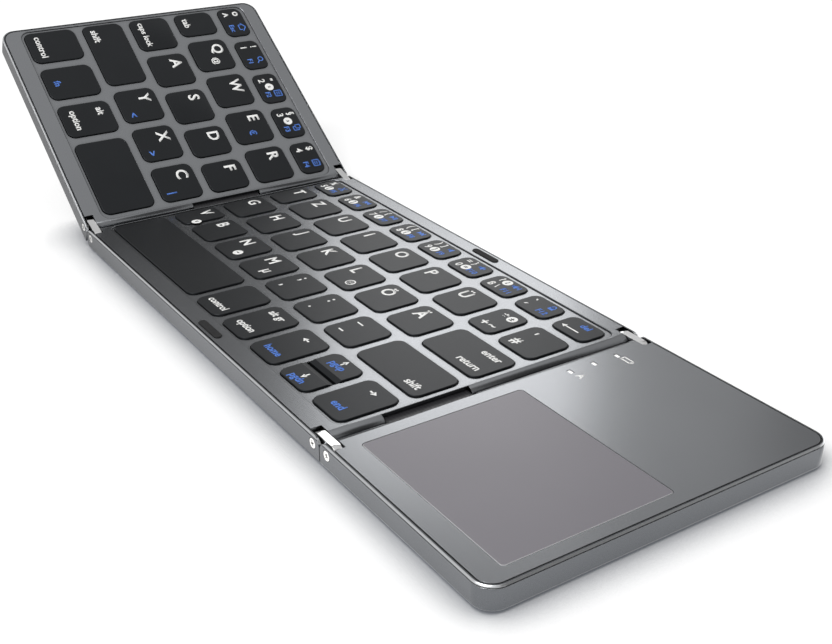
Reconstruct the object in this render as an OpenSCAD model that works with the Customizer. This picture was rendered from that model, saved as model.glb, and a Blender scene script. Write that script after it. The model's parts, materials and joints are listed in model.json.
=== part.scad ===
// Folding keyboard: three flat panels joined by two double-pin hinges.
// The middle panel lies flat, the right panel with the touchpad lies flat beside it,
// and the left panel is shown partly folded up. All sizes are in millimetres.

/* [Panels] */
// Depth of every panel, front to back
depth = 98; // [96.5:0.5:104]
// Width of the middle panel between its two parting planes
middle_w = 156.4; // [153:0.2:166]
// Width of the right panel, parting plane to outer end
right_w = 64.8; // [63:0.2:72]
// Width of the left panel, parting plane to outer end
left_w = 88.6; // [86:0.2:96]
// Height of the case, underside to deck
case_h = 6.2; // [6.0:0.1:6.6]
// Plan radius of the outer corners
corner_r = 5; // [3.6:0.2:8]
// How far the left panel is folded up, in degrees
left_open = 35; // [0:1:180]
// How far the right panel is folded up, in degrees
right_open = 0; // [0:1:180]

/* [Case] */
// Thickness of the outer walls
wall_t = 1.0; // [0.8:0.1:1.1]
// Thickness of the floor
floor_t = 0.8; // [0.6:0.05:1.0]
// Width of the ledge that carries the deck, inside the wall
ledge_w = 1.0; // [0.6:0.1:1.4]
// Thickness of the wall's rim beside the deck
rim_t = 0.75; // [0.6:0.05:0.8]
// Bright chamfer along the top of the rim
chamfer = 0.4; // [0.3:0.05:0.5]
// Height of the shadow line under the chamfer
line_h = 0.25; // [0.15:0.05:0.35]
// Depth of that line
line_d = 0.15; // [0.1:0.05:0.2]
// Radius of the bottom edge
bottom_r = 0.6; // [0.3:0.1:0.9]
// Groove between rim and deck
groove = 0.25; // [0.15:0.05:0.35]
// Radius of the rounded lips at the parting planes
lip_r = 2.5; // [2.0:0.1:2.6]
// Free gap between two panels at a parting plane
parting_gap = 0.3; // [0.2:0.05:0.5]

/* [Deck] */
// Thickness of the deck
deck_t = 1.4; // [1.2:0.1:1.6]
// Depth of the key recess below the deck
recess_depth = 0.4; // [0.3:0.05:0.6]
// Corner radius of the key recess
recess_r = 3.5; // [2:0.5:5]
// Chamfer around the key recess
recess_chamfer = 0.15; // [0.1:0.05:0.25]
// Plain rim at the front of the deck
rim_front = 6.5; // [6.3:0.1:7.5]
// Plain rim at the back of the deck
rim_back = 5.7; // [5.5:0.1:7]
// Rim between the recess and the outer end of the left panel
rim_end = 1.6; // [1.4:0.1:2]
// Rim between the recess and a parting plane
rim_parting = 2.65; // [2.6:0.05:3]

/* [Keys] */
// Width and depth of a letter key
key_w = 14.55; // [14.2:0.05:14.8]
// Gap between neighbouring keys
key_gap = 3.1; // [2.8:0.1:3.3]
// Depth of the keys in the front row
front_key_d = 17.9; // [17:0.1:18.5]
// Depth of the keys in the back row
back_key_d = 9.35; // [8.8:0.05:10]
// Width of the modifier and arrow keys in the front row
front_key_w = 14.0; // [13:0.1:15]
// Gap between the two half-height arrow keys
arrow_gap = 0.9; // [0.7:0.1:1.2]
// Width of the slope that each of them has towards the other
arrow_slope = 1.5; // [1:0.1:2]
// How far that slope goes down
arrow_drop = 0.5; // [0.3:0.1:0.7]
// Width of the two narrowed letter keys on the left panel
narrow_letter_w = 12.5; // [11.5:0.1:13.5]
// Width of the narrowed keys on the middle panel
narrow_key_w = 10.82; // [10:0.02:12]
// Width of the tab key
tab_w = 10.9; // [10:0.1:12]
// Width of the caps lock key
caps_lock_w = 15; // [13:0.1:17]
// Width of the left shift key
left_shift_w = 28.55; // [26:0.05:31]
// Width of the left space key
left_space_w = 30.2; // [28:0.1:33]
// Width of the enter key
enter_w = 24.75; // [22:0.05:27]
// Width of the right shift key
right_shift_w = 28.48; // [26:0.02:31]
// Width of the right space key
right_space_w = 62.8; // [58:0.1:67]
// Plan radius of the key corners
key_r = 2.7; // [1.5:0.1:3]
// Chamfer around the top of a key
key_chamfer = 0.15; // [0.1:0.05:0.3]
// Height of the key tops above the deck
key_proud = 0.05; // [0:0.05:0.3]
// Height of a key cap, skirt to top
cap_h = 2.1; // [1.9:0.1:2.3]
// Thickness of a key cap's top
cap_top = 0.9; // [0.7:0.1:1.1]
// Thickness of a key cap's skirt
skirt_t = 0.8; // [0.6:0.1:1.0]
// Clearance between a key and its cut-out
key_clear = 0.2; // [0.15:0.05:0.3]
// Travel of a key
key_travel = 1.3; // [1.0:0.1:1.4]
// Recess edge to first key, at the front
key_in_front = 1.0; // [0.8:0.1:1.5]
// Recess edge to last key, at the back
key_in_back = 1.5; // [1:0.1:2]
// Recess edge to first key, at the left end of the middle panel
key_in_left = 0.95; // [0.8:0.05:1.5]
// Recess edge to last key, beside the other parting planes
key_in_right = 1.85; // [1.5:0.05:2.2]
// Recess edge to last key, at the outer end of the left panel
key_in_end = 1.0; // [0.8:0.1:1.4]

/* [Key mechanism] */
// Thickness of the steel support plate under the keys
plate_t = 0.4; // [0.3:0.05:0.5]
// Plan radius of the support plate and the membrane
plate_r = 1.5; // [1:0.1:2]
// Clearance between the support plate and the deck's ledge
plate_clear = 0.3; // [0.2:0.05:0.4]
// Edge of the recess to the support plate, at the front
plate_in_front = 0.4; // [0.3:0.1:0.8]
// Edge of the recess to the support plate, at the back
plate_in_back = 0.2; // [0.1:0.1:0.8]
// Thickness of the contact membrane
membrane_t = 0.3; // [0.2:0.05:0.4]
// Strip of the support plate left bare at the ends of the membrane
membrane_in = 0.3; // [0.2:0.1:0.6]
// Wall thickness of a rubber dome
dome_wall = 0.45; // [0.3:0.05:0.6]
// Width of a dome's foot
dome_foot = 0.2; // [0.1:0.05:0.3]
// Clearance between a dome and the scissors around it
dome_clear = 0.15; // [0.1:0.05:0.25]
// Radius of the plunger under a key cap
plunger_r = 1.6; // [1.2:0.1:1.8]
// Length of a scissor frame
scissor_l = 9; // [8:0.5:10]
// Greatest width of a scissor pair
scissor_w = 7.5; // [7:0.1:7.6]
// Width of a scissor arm
scissor_arm = 0.5; // [0.4:0.05:0.6]
// Clearance between the scissors and a key's skirt
scissor_clear = 0.1; // [0.05:0.05:0.2]
// Thickness of a scissor frame
scissor_t = 0.5; // [0.4:0.05:0.6]

/* [Hinges] */
// Distance of a hinge pin from the parting plane
pin_in = 3.3; // [3.2:0.05:3.6]
// Height of the hinge pins above the underside
pin_z = 3.8; // [3.7:0.05:4.0]
// Radius of a link's rounded ends
link_r = 2.25; // [2.0:0.05:2.3]
// Thickness of a link, front to back
link_t = 2.3; // [1.8:0.1:2.6]
// Clearance between a link and its slot
link_clear = 0.15; // [0.1:0.05:0.2]
// Gap between a link and the wall beside it
link_in = 0.3; // [0.25:0.05:0.4]
// Gap between a link and the boss beside it
link_back_in = 0.2; // [0.15:0.05:0.3]
// Radius of a hinge screw's shank
screw_r = 0.7; // [0.5:0.05:0.9]
// Radius of a hinge screw's head
screw_head_r = 1.3; // [1.1:0.05:1.5]
// Thickness of a hinge screw's head
screw_head_t = 0.5; // [0.3:0.05:0.6]
// Clearance around a hinge screw's head
screw_head_clear = 0.15; // [0.05:0.05:0.25]
// Length of the crossed slots in a hinge screw's head
screw_slot_l = 1.5; // [1.2:0.1:1.8]
// Width and depth of these slots
screw_slot_w = 0.3; // [0.2:0.05:0.35]
// Free depth beyond the end of a hinge screw
screw_end_clear = 0.2; // [0.1:0.05:0.4]
// Running clearance between a link and a shank
pin_clear = 0.05; // [0.02:0.01:0.08]
// Thickness of the boss that holds a screw's end
boss_t = 2.2; // [1.5:0.1:2.4]
// Width of that boss
boss_w = 3.3; // [2.6:0.1:3.3]
// Width of the flat cable between two panels
cable_w = 24.6; // [15:0.2:26]
// Thickness of the flat cable
cable_t = 0.5; // [0.3:0.05:0.6]
// Depth of the flat cable's top below the deck
cable_down = 1.25; // [1.25:0.05:1.5]
// Distance of the right cable's centre from the front
right_cable_y = 30.6; // [25:0.2:60]
// Distance of the left cable's centre from the front
left_cable_y = 50; // [25:0.2:60]
// How far a deck lip is cut back over the cable
cable_slot = 2.2; // [1.8:0.1:2.4]
// Clearance beside the cable in its slot
cable_clear = 0.3; // [0.2:0.05:0.5]

/* [Touchpad and electronics] */
// Depth of the touchpad glass
touch_d = 45.6; // [40:0.2:50]
// Thickness of the touchpad glass
touch_t = 0.8; // [0.6:0.1:0.9]
// Distance of the glass from the parting plane
touch_x = 6.6; // [6.4:0.1:8]
// Distance of the glass from the panel's outer end
touch_end = 4.8; // [4:0.1:8]
// Distance of the glass from the front
touch_y = 7.3; // [7:0.1:9]
// Plan radius of the glass corners
touch_r = 1.0; // [0.5:0.1:2]
// Clearance around the glass
touch_clear = 0.1; // [0.05:0.05:0.2]
// Ledge under the edge of the glass
touch_ledge = 1.5; // [1:0.1:3]
// Clearance between the touchpad's board and the ledge around it
touch_board_clear = 0.3; // [0.2:0.05:0.5]
// Width of the battery
battery_w = 46; // [38:1:48]
// Depth of the battery, front to back
battery_d = 38; // [30:1:40]
// Height of the battery
battery_h = 3.4; // [3:0.1:3.6]
// Plan radius of the battery's corners
battery_r = 1.5; // [0.5:0.1:2.5]
// Distance of the battery from the edges of the glass above it
battery_in = 2; // [1:0.5:5]
// Width of the main board
board_w = 47; // [40:1:50]
// Depth of the main board, front to back
board_d = 28.5; // [24:0.5:32]
// Thickness of the main board
board_t = 0.8; // [0.6:0.1:1.0]
// Width of a light window
window_w = 1.7; // [1.2:0.1:2]
// Depth of a light window
window_d = 1.0; // [0.8:0.1:1.4]
// Distance between light windows
window_pitch = 7.8; // [5:0.1:9]
// Distance of the light windows from the parting plane
window_x = 5.4; // [4.5:0.1:8]
// Distance of the last light window from the back
window_back = 13.6; // [10:0.1:20]
// Depth of the light windows' tops below the deck
window_down = 0.15; // [0.05:0.05:0.3]
// Width of the charging port's mouth
port_w = 7.4; // [7:0.1:9]
// Height of the charging port's mouth
port_h = 1.9; // [1.6:0.1:2.2]
// Wall thickness of the charging port's shell
port_wall = 0.35; // [0.3:0.05:0.4]
// Length of the charging port's shell
port_l = 5.6; // [5:0.1:7]
// Distance of the charging port from the parting plane
port_x = 26; // [20:0.5:45]

/* [Rubber parts] */
// Height of the rubber feet
foot_h = 0.6; // [0.4:0.1:0.8]
// Length of a rubber foot
foot_l = 14; // [8:0.5:20]
// Width of a rubber foot
foot_w = 4; // [3:0.5:6]
// Distance of the feet from the panel edges
foot_in = 8; // [7:0.5:12]
// Length of a fold bumper
bumper_l = 12; // [8:0.5:14]
// Width of a fold bumper
bumper_w = 2.2; // [1.6:0.1:2.4]
// Height of a fold bumper above the deck
bumper_proud = 0.3; // [0.2:0.05:0.5]
// Distance of a fold bumper from the front or back face
bumper_in = 2.0; // [1.4:0.1:2.2]

/* [Hidden] */
$fn = 48;
eps = 0.01;
half_gap = parting_gap / 2;
deck_low = case_h - deck_t;
web_top = case_h - recess_depth;
lip_z = case_h - lip_r;
lip_x = half_gap + lip_r;
deck_in = rim_t + groove;
fit = 0.05;
touch_w = right_w - touch_x - touch_end;
screw_turn = 20;

// Links, screws and slots, measured from the front face
link_y = wall_t + link_in;
link_back = link_y + link_t;
slot_end = link_back + link_back_in;
slot_len = pin_in + link_r + link_clear;
slot_floor = pin_z - link_r - link_clear;
boss_top = deck_low - 2 * fit;

function total(list, i = 0) = i >= len(list) ? 0 : list[i] + total(list, i + 1);
function times(n, size) = [for (i = [1:n]) size];
// A row of keys that fills its room: each takes an equal share, to a hundredth, of what is over or lacking
function spread(list, room) =
    let (share = round(100 * (room - total(list) - key_gap * (len(list) - 1)) / len(list)) / 100)
    [for (size = list) size + share];
function key_x(list, i) = i == 0 ? 0 : key_x(list, i - 1) + list[i - 1] + key_gap;

// Rows of keys, front to back, and how deep each is
row_room = depth - rim_front - rim_back - key_in_front - key_in_back;
row_d = spread([front_key_d, key_w, key_w, key_w, back_key_d], row_room);
function row_y(i) = rim_front + key_in_front + key_x(row_d, i);

// Middle panel: key widths from the left, row by row from the front
middle_room = middle_w - 2 * rim_parting - key_in_left - key_in_right;
middle_start = rim_parting + key_in_left;
middle_rows = [
    spread(concat([right_space_w], times(5, front_key_w)), middle_room),
    spread(concat([narrow_key_w], times(6, key_w), [right_shift_w]), middle_room),
    spread(concat(times(7, key_w), [enter_w]), middle_room),
    spread(concat([narrow_key_w], times(6, key_w), [narrow_key_w, key_w]), middle_room),
    spread(times(9, key_w), middle_room)
];
arrow_column = len(middle_rows[0]) - 2;
half_arrow_d = (row_d[0] - arrow_gap) / 2;

// Left panel: key widths from its parting plane outwards
left_room = left_w - rim_parting - rim_end - key_in_right - key_in_end;
left_start = rim_parting + key_in_right;
left_rows = [
    spread(concat([left_space_w], times(3, front_key_w)), left_room),
    spread(concat(times(3, key_w), [left_shift_w]), left_room),
    spread([narrow_letter_w, narrow_letter_w, key_w, key_w, caps_lock_w], left_room),
    spread(concat(times(4, key_w), [tab_w]), left_room),
    spread(times(5, key_w), left_room)
];

// Every key as [x, y, width, depth]
function row_keys(rows, start, i, from, to) =
    [for (k = [from:to]) [start + key_x(rows[i], k), row_y(i), rows[i][k], row_d[i]]];
function all_keys(rows, start, skip = -1) =
    [for (i = [0:4]) for (k = [0:len(rows[i]) - 1])
        if (!(i == 0 && k == skip)) row_keys(rows, start, i, k, k)[0]];
arrow_cell = row_keys(middle_rows, middle_start, 0, arrow_column, arrow_column)[0];
arrow_down_key = [arrow_cell[0], arrow_cell[1], arrow_cell[2], half_arrow_d];
arrow_up_key = [arrow_cell[0], arrow_cell[1] + half_arrow_d + arrow_gap, arrow_cell[2], half_arrow_d];
middle_cells = all_keys(middle_rows, middle_start);
middle_all = concat(all_keys(middle_rows, middle_start, arrow_column), [arrow_down_key, arrow_up_key]);
left_all = all_keys(left_rows, left_start);

// Where the ends of the two folded wings meet over the middle panel
bumper_x = (middle_w - right_w + left_w) / 2 - bumper_l / 2;
bumper_seat = deck_t - recess_depth;

// Heights inside the case
plate_top = floor_t + plate_t;
membrane_top = plate_top + membrane_t;
key_top = case_h + key_proud;
skirt_z = key_top - cap_h;
ceiling_z = key_top - cap_top;
plunger_z = membrane_top + key_travel + 2 * dome_wall;
plunger_h = ceiling_z - plunger_z;
dome_top = plunger_z - fit;
inner_in = wall_t + ledge_w + plate_clear;
plate_front = rim_front + plate_in_front;
plate_back = rim_back + plate_in_back;
board_top = floor_t + board_t;
cable_top = case_h - cable_down;
cable_end = rim_parting + key_in_left - key_clear - cable_t - 2 * fit;

// Middle of the whole keyboard as it stands, for the origin at the centre of its base
fold = left_open / 2;
reach =
    -pin_in + 2 * pin_in * cos(fold) + (left_w - bottom_r - pin_in) * cos(left_open)
    + (pin_z - bottom_r) * sin(left_open) + bottom_r;
mid_x = (middle_w + right_w - reach) / 2;

// Stand a piece in the keyboard's frame, from the middle panel's own corner
module on_base() { translate([-mid_x, -depth / 2, foot_h]) children(); }

// A link's frame: its first pin at the origin, its second pin at +X
module link_frame(open) {
    translate([-pin_in, 0, pin_z]) rotate([0, -open / 2, 0]) children();
}

// A wing's frame: the parting plane at x = 0 and the outer end at +X
module wing_frame(open) {
    link_frame(open) translate([2 * pin_in, 0, 0]) rotate([0, -open / 2, 0])
        translate([-pin_in, 0, -pin_z]) children();
}

module right_side() { on_base() translate([middle_w, 0, 0]) children(); }

module left_side() { on_base() mirror([1, 0, 0]) children(); }

module right_wing() { right_side() wing_frame(right_open) children(); }

module left_wing() { left_side() wing_frame(left_open) children(); }

module rounded_rect(w, d, r) {
    translate([r, 0]) square([w - 2 * r, d]);
    translate([0, r]) square([w, d - 2 * r]);
    for (x = [r, w - r], y = [r, d - r]) translate([x, y]) circle(r);
}

// Rectangle with half-round ends, long way along x
module pill(l, w) {
    translate([w / 2, 0]) square([l - w, w]);
    for (x = [w / 2, l - w / 2]) translate([x, w / 2]) circle(w / 2);
}

// The same child at the front and, mirrored, at the back
module front_and_back() {
    children();
    translate([0, depth, 0]) mirror([0, 1, 0]) children();
}

// The same child at a panel's parting plane and, on the middle panel, at its other one too
module each_parting(w, both) {
    children();
    if (both) translate([w, 0, 0]) mirror([1, 0, 0]) children();
}

// Plan of a panel, drawn in from its outer faces; the parting ends only keep the gap
module panel_plan(w, both, inset) {
    r = corner_r - inset;
    translate([half_gap, inset])
        square([both ? w - 2 * half_gap : w - half_gap - inset - r, depth - 2 * inset]);
    if (!both) translate([w - inset - 3 * r, inset]) rounded_rect(3 * r, depth - 2 * inset, r);
}

// A wall section, x inwards from the outer face and y up, carried along the outer walls
module along_walls(w, both) {
    front_and_back() {
        translate([half_gap, 0, 0]) rotate([90, 0, 90])
            linear_extrude(both ? w - 2 * half_gap : w - half_gap - corner_r) children();
        if (!both) translate([w - corner_r, corner_r, 0]) rotate([0, 0, -90])
            rotate_extrude(angle = 90) translate([corner_r, 0]) mirror([1, 0]) children();
    }
    if (!both) translate([w, corner_r, 0]) rotate([0, 0, 90]) rotate([90, 0, 90])
        linear_extrude(depth - 2 * corner_r) children();
}

module wall_section() {
    difference() {
        polygon([
            [0, 0], [wall_t + ledge_w, 0], [wall_t + ledge_w, deck_low], [rim_t, deck_low],
            [rim_t, case_h], [chamfer, case_h], [0, case_h - chamfer], [line_d, case_h - chamfer],
            [line_d, case_h - chamfer - line_h], [0, case_h - chamfer - line_h]
        ]);
        difference() {
            square(2 * bottom_r, center = true);
            translate([bottom_r, bottom_r]) circle(bottom_r);
        }
    }
}

// What rounds a panel's upper and lower edge off at a parting plane
module parting_rounding() {
    translate([0, depth + 1, 0]) rotate([90, 0, 0]) linear_extrude(depth + 2) {
        difference() {
            translate([-1, lip_z]) square([lip_x + 1, lip_r + 1]);
            translate([lip_x, lip_z]) circle(lip_r);
        }
        difference() {
            translate([-1, -1]) square([half_gap + bottom_r + 1, bottom_r + 1]);
            translate([half_gap + bottom_r, bottom_r]) circle(bottom_r);
        }
    }
}

// The slots that the two links of a hinge turn in
module link_slots() {
    front_and_back() translate([-1, wall_t, slot_floor]) cube([slot_len + 1, slot_end - wall_t, case_h]);
}

// The way that the flat cable takes through a deck's lip and along its underside
module cable_way(y) {
    w = cable_w + 2 * cable_clear;
    translate([-1, y - w / 2, lip_z - 1]) cube([cable_slot + 1, w, case_h]);
    translate([cable_slot - eps, y - w / 2, cable_top + fit - 1])
        cube([cable_end + cable_t + 2 * fit - cable_slot, w, 1]);
}

// The boss inside a panel that takes a hinge screw's thread
module screw_boss() {
    front_and_back() translate([pin_in - boss_w / 2, slot_end, floor_t - eps])
        cube([boss_w, boss_t, boss_top - floor_t + eps]);
}

module screw_holes() {
    front_and_back() translate([pin_in, 0, pin_z]) rotate([-90, 0, 0]) {
        translate([0, 0, -1]) cylinder(r = screw_head_r + screw_head_clear, h = screw_head_t + 1);
        cylinder(r = screw_r + fit / 2, h = slot_end + boss_t + 1);
    }
}

// Open tray: floor, outer walls with the deck's ledge, and a low wall at each parting plane
module bottom_case(w, both) {
    difference() {
        union() {
            along_walls(w, both) wall_section();
            linear_extrude(floor_t) panel_plan(w, both, wall_t);
            each_parting(w, both) {
                translate([half_gap, wall_t, 0]) cube([wall_t, depth - 2 * wall_t, lip_z - 2 * fit]);
                screw_boss();
            }
        }
        each_parting(w, both) {
            parting_rounding();
            link_slots();
            screw_holes();
        }
    }
}

// Cable ways at [near parting plane, far parting plane]; 0 leaves one out
module cables_at(w, cables) {
    if (cables[0] > 0) cable_way(cables[0]);
    if (cables[1] > 0) translate([w, 0, 0]) mirror([1, 0, 0]) cable_way(cables[1]);
}

// Section of a deck's lip at a parting plane
module lip_section() {
    intersection() {
        difference() {
            circle(lip_r);
            circle(lip_r - wall_t);
        }
        translate([-lip_r, 0]) square(lip_r);
    }
}

// Deck plate with its rolled lips, before any recess is cut
module plain_deck(w, both, cables) {
    difference() {
        union() {
            translate([0, 0, deck_low]) linear_extrude(deck_t) intersection() {
                panel_plan(w, both, deck_in);
                translate([lip_x, 0]) square([both ? w - 2 * lip_x : w, depth]);
            }
            each_parting(w, both) translate([lip_x, depth - deck_in, lip_z]) rotate([90, 0, 0])
                linear_extrude(depth - 2 * deck_in) lip_section();
        }
        each_parting(w, both) link_slots();
        cables_at(w, cables);
    }
}

// Plate whose upper edge is chamfered all round
module chamfered_plate(w, d, r, t, c) {
    for (x = [r, w - r], y = [r, d - r]) translate([x, y, 0])
        rotate_extrude() polygon([[0, 0], [r, 0], [r, t - c], [r - c, t], [0, t]]);
    translate([r, 0, 0]) rotate([90, 0, 90]) linear_extrude(w - 2 * r) chamfer_section(d, t, c);
    translate([0, d - r, 0]) rotate([90, 0, 0]) linear_extrude(d - 2 * r) chamfer_section(w, t, c);
}

module chamfer_section(w, t, c) { polygon([[0, 0], [w, 0], [w, t - c], [w - c, t], [c, t], [0, t - c]]); }

// Recess for the keys, wider at its top by the chamfer, and a cut-out for each key in its floor
module key_recess(x0, x1, keys) {
    w = x1 - x0;
    d = depth - rim_front - rim_back;
    c = recess_chamfer;
    translate([x0, rim_front, web_top]) linear_extrude(recess_depth) rounded_rect(w, d, recess_r);
    translate([x0 - c, rim_front + d + c, case_h + 1]) rotate([180, 0, 0])
        chamfered_plate(w + 2 * c, d + 2 * c, recess_r + c, 1 + c, c);
    translate([0, 0, deck_low - 1]) linear_extrude(deck_t + 1) for (k = keys)
        translate([k[0] - key_clear, k[1] - key_clear])
            rounded_rect(k[2] + 2 * key_clear, k[3] + 2 * key_clear, key_r + key_clear);
}

// Chamfered cap with a hollow skirt and a plunger over its dome
module key_cap(k) {
    w = k[2];
    d = k[3];
    translate([k[0], k[1], skirt_z]) {
        difference() {
            chamfered_plate(w, d, key_r, cap_h, key_chamfer);
            cap_hollow(w, d);
        }
        plunger(w, d);
    }
}

module cap_hollow(w, d) {
    translate([skirt_t, skirt_t, -1]) linear_extrude(cap_h - cap_top + 1)
        rounded_rect(w - 2 * skirt_t, d - 2 * skirt_t, key_r - skirt_t);
}

module plunger(w, d) {
    translate([w / 2, d / 2, plunger_z - skirt_z]) cylinder(r = plunger_r, h = plunger_h + cap_top / 2);
}

// Half of a full-size cap, with a slope down towards the other half
module arrow_cap(turn) {
    w = arrow_cell[2];
    d = arrow_cell[3];
    cut = (d + arrow_gap) / 2;
    steep = arrow_drop / arrow_slope;
    translate([arrow_cell[0] + w / 2, arrow_cell[1] + d / 2, skirt_z]) rotate([0, 0, turn])
        translate([-w / 2, -d / 2, 0]) {
            difference() {
                chamfered_plate(w, d, key_r, cap_h, key_chamfer);
                translate([-1, -1, -1]) cube([w + 2, cut + 1, cap_h + 2]);
                translate([-1, cut, cap_h]) rotate([90, 0, 90]) linear_extrude(w + 2)
                    polygon([[-1, -arrow_drop - steep], [arrow_slope, 0], [arrow_slope, 1], [-1, 1]]);
                translate([0, cut, 0]) cap_hollow(w, half_arrow_d);
            }
            translate([0, cut, 0]) plunger(w, half_arrow_d);
        }
}

// Length and width of the scissor pair that fits under a key
function pair_l(k) = min(scissor_l, k[2] - 2 * skirt_t - 2 * scissor_clear);
function pair_w(k) = min(scissor_w, k[3] - 2 * skirt_t - 2 * scissor_clear);
function dome_r(k) = pair_w(k) / 2 - 2 * scissor_arm - dome_clear;

module rubber_dome(k) {
    r = dome_r(k);
    foot_r = r - dome_foot;
    top_r = plunger_r - dome_foot;
    h = dome_top - membrane_top;
    translate([k[0] + k[2] / 2, k[1] + k[3] / 2, membrane_top]) difference() {
        union() {
            cylinder(r = r, h = dome_wall);
            cylinder(r1 = foot_r, r2 = top_r, h = h);
        }
        translate([0, 0, -eps])
            cylinder(r1 = foot_r - dome_wall, r2 = top_r - dome_wall, h = h - 2 * dome_wall);
    }
}

// One frame of a scissor pair, tilted about its middle
module scissor_frame(l, w, tilt) {
    rotate([0, tilt, 0]) translate([0, 0, -scissor_t / 2]) linear_extrude(scissor_t) difference() {
        square([l, w], center = true);
        square([l - 3 * scissor_arm, w - 2 * scissor_arm], center = true);
    }
}

module scissor_pair(k, x) {
    low = membrane_top + scissor_t;
    high = ceiling_z - scissor_t;
    l = pair_l(k);
    w = pair_w(k);
    tilt = asin((high - low) / l);
    translate([k[0] + x, k[1] + k[3] / 2, (low + high) / 2]) {
        scissor_frame(l, w, tilt);
        scissor_frame(l, w - 2 * scissor_arm - 2 * fit, -tilt);
    }
}

module scissors_under(k) {
    wide = k[2] > 2 * key_w + key_gap + scissor_l;
    side = scissor_l / 2 + 2 * key_gap;
    if (wide) {
        scissor_pair(k, side);
        scissor_pair(k, k[2] - side);
    } else scissor_pair(k, k[2] / 2);
}

// Flat plate under the keys of a panel
module under_keys(x0, x1, z, t) {
    translate([x0, plate_front, z]) linear_extrude(t)
        rounded_rect(x1 - x0, depth - plate_front - plate_back, plate_r);
}

module hinge_screw_pair() {
    front_and_back() translate([pin_in, 0, pin_z]) rotate([-90, 0, 0]) difference() {
        union() {
            cylinder(r = screw_head_r, h = screw_head_t);
            cylinder(r = screw_r, h = slot_end + boss_t - screw_end_clear);
        }
        for (a = [0, 90]) rotate([0, 0, a + screw_turn])
            translate([-screw_slot_l / 2, -screw_slot_w / 2, -eps])
                cube([screw_slot_l, screw_slot_w, screw_slot_w]);
    }
}

// Two chrome links, each with a bore for either panel's screw
module hinge_links() {
    front_and_back() translate([0, link_back, 0]) rotate([90, 0, 0]) linear_extrude(link_t) difference() {
        union() {
            for (x = [0, 2 * pin_in]) translate([x, 0]) circle(link_r);
            translate([0, -link_r]) square([2 * pin_in, 2 * link_r]);
        }
        for (x = [0, 2 * pin_in]) translate([x, 0]) circle(screw_r + pin_clear);
    }
}

// A point of a wing seen from the link's first pin, with the link and the wing each turned half
function from_link(p, open) =
    let (a = open / 2, x = p[0] - pin_in, z = p[1] - pin_z)
    [2 * pin_in + x * cos(a) - z * sin(a), x * sin(a) + z * cos(a)];
function from_middle(p, open) =
    let (a = -open / 2, x = p[0] + pin_in, z = p[1] - pin_z)
    [x * cos(a) - z * sin(a), x * sin(a) + z * cos(a)];

// Flat cable: down inside either panel, along under its deck, and across the channel
module flat_cable(open, y) {
    path = [
        [cable_end + cable_t, membrane_top], [cable_end + cable_t, cable_top], [cable_slot, cable_top],
        [cable_slot, cable_top - cable_t], [cable_end, cable_top - cable_t], [cable_end, membrane_top]
    ];
    near = [for (p = path) from_middle([-p[0], p[1]], open)];
    far = [for (p = path) from_link(p, open)];
    translate([0, y + cable_w / 2, 0]) rotate([90, 0, 0]) linear_extrude(cable_w) polygon([
        near[0], near[1], near[2], far[2], far[1], far[0],
        far[5], far[4], far[3], near[3], near[4], near[5]
    ]);
}

// A rubber foot with its near corner at x, y, its long way along the panel's width or depth
module foot(x, y, sideways) {
    translate([x + (sideways ? 0 : foot_w), y, -foot_h]) rotate([0, 0, sideways ? 0 : 90])
        linear_extrude(foot_h) pill(foot_l, foot_w);
}

module wing_feet(w) { front_and_back() foot(w - foot_in - foot_w, foot_in, false); }

module middle_bottom_case() {
    color("#5c5d61") on_base() bottom_case(middle_w, true);
}

module middle_deck() {
    color("#77787c") on_base() difference() {
        plain_deck(middle_w, true, [left_cable_y, right_cable_y]);
        key_recess(rim_parting, middle_w - rim_parting, middle_cells);
        bumpers(fit);
    }
}

// Pads where the ends of the two folded wings meet, each in a seat in the deck
module bumpers(clear) {
    front_and_back() translate([bumper_x - clear, bumper_in - clear, case_h - bumper_seat])
        linear_extrude(bumper_seat + bumper_proud) pill(bumper_l + 2 * clear, bumper_w + 2 * clear);
}

module fold_bumpers() { color("#1c1c1e") on_base() bumpers(0); }

module middle_support_plate() {
    color("#9a9c9f") on_base() under_keys(inner_in, middle_w - inner_in, floor_t, plate_t);
}

module middle_membrane() {
    color("#6b7a52") on_base()
        under_keys(inner_in + membrane_in, middle_w - inner_in - membrane_in, plate_top, membrane_t);
}

module middle_rubber_domes() { color("#c9c6bc") on_base() for (k = middle_all) rubber_dome(k); }

module middle_scissors() { color("#e4e4e0") on_base() for (k = middle_all) scissors_under(k); }

module middle_hinge_screws() {
    color("#b9bbbf") on_base() each_parting(middle_w, true) hinge_screw_pair();
}

module middle_rubber_feet() {
    color("#1c1c1e") on_base() each_parting(middle_w, true) front_and_back()
        foot(foot_in + foot_w, foot_in, true);
}

module left_bottom_case() { color("#5c5d61") left_wing() bottom_case(left_w, false); }

module left_deck() {
    color("#77787c") left_wing() difference() {
        plain_deck(left_w, false, [left_cable_y, 0]);
        key_recess(rim_parting, left_w - rim_end, left_all);
    }
}

module left_support_plate() {
    color("#9a9c9f") left_wing() under_keys(inner_in, left_w - inner_in, floor_t, plate_t);
}

module left_membrane() {
    color("#6b7a52") left_wing()
        under_keys(inner_in + membrane_in, left_w - inner_in - membrane_in, plate_top, membrane_t);
}

module left_rubber_domes() { color("#c9c6bc") left_wing() for (k = left_all) rubber_dome(k); }

module left_scissors() { color("#e4e4e0") left_wing() for (k = left_all) scissors_under(k); }

module left_hinge_screws() { color("#b9bbbf") left_wing() hinge_screw_pair(); }

module left_rubber_feet() { color("#1c1c1e") left_wing() wing_feet(left_w); }

// The charging port stands on the main board, with its mouth in the back wall
module at_port() {
    translate([port_x, depth - wall_t / 2, board_top + port_wall + port_h / 2]) rotate([90, 0, 0]) children();
}

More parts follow.
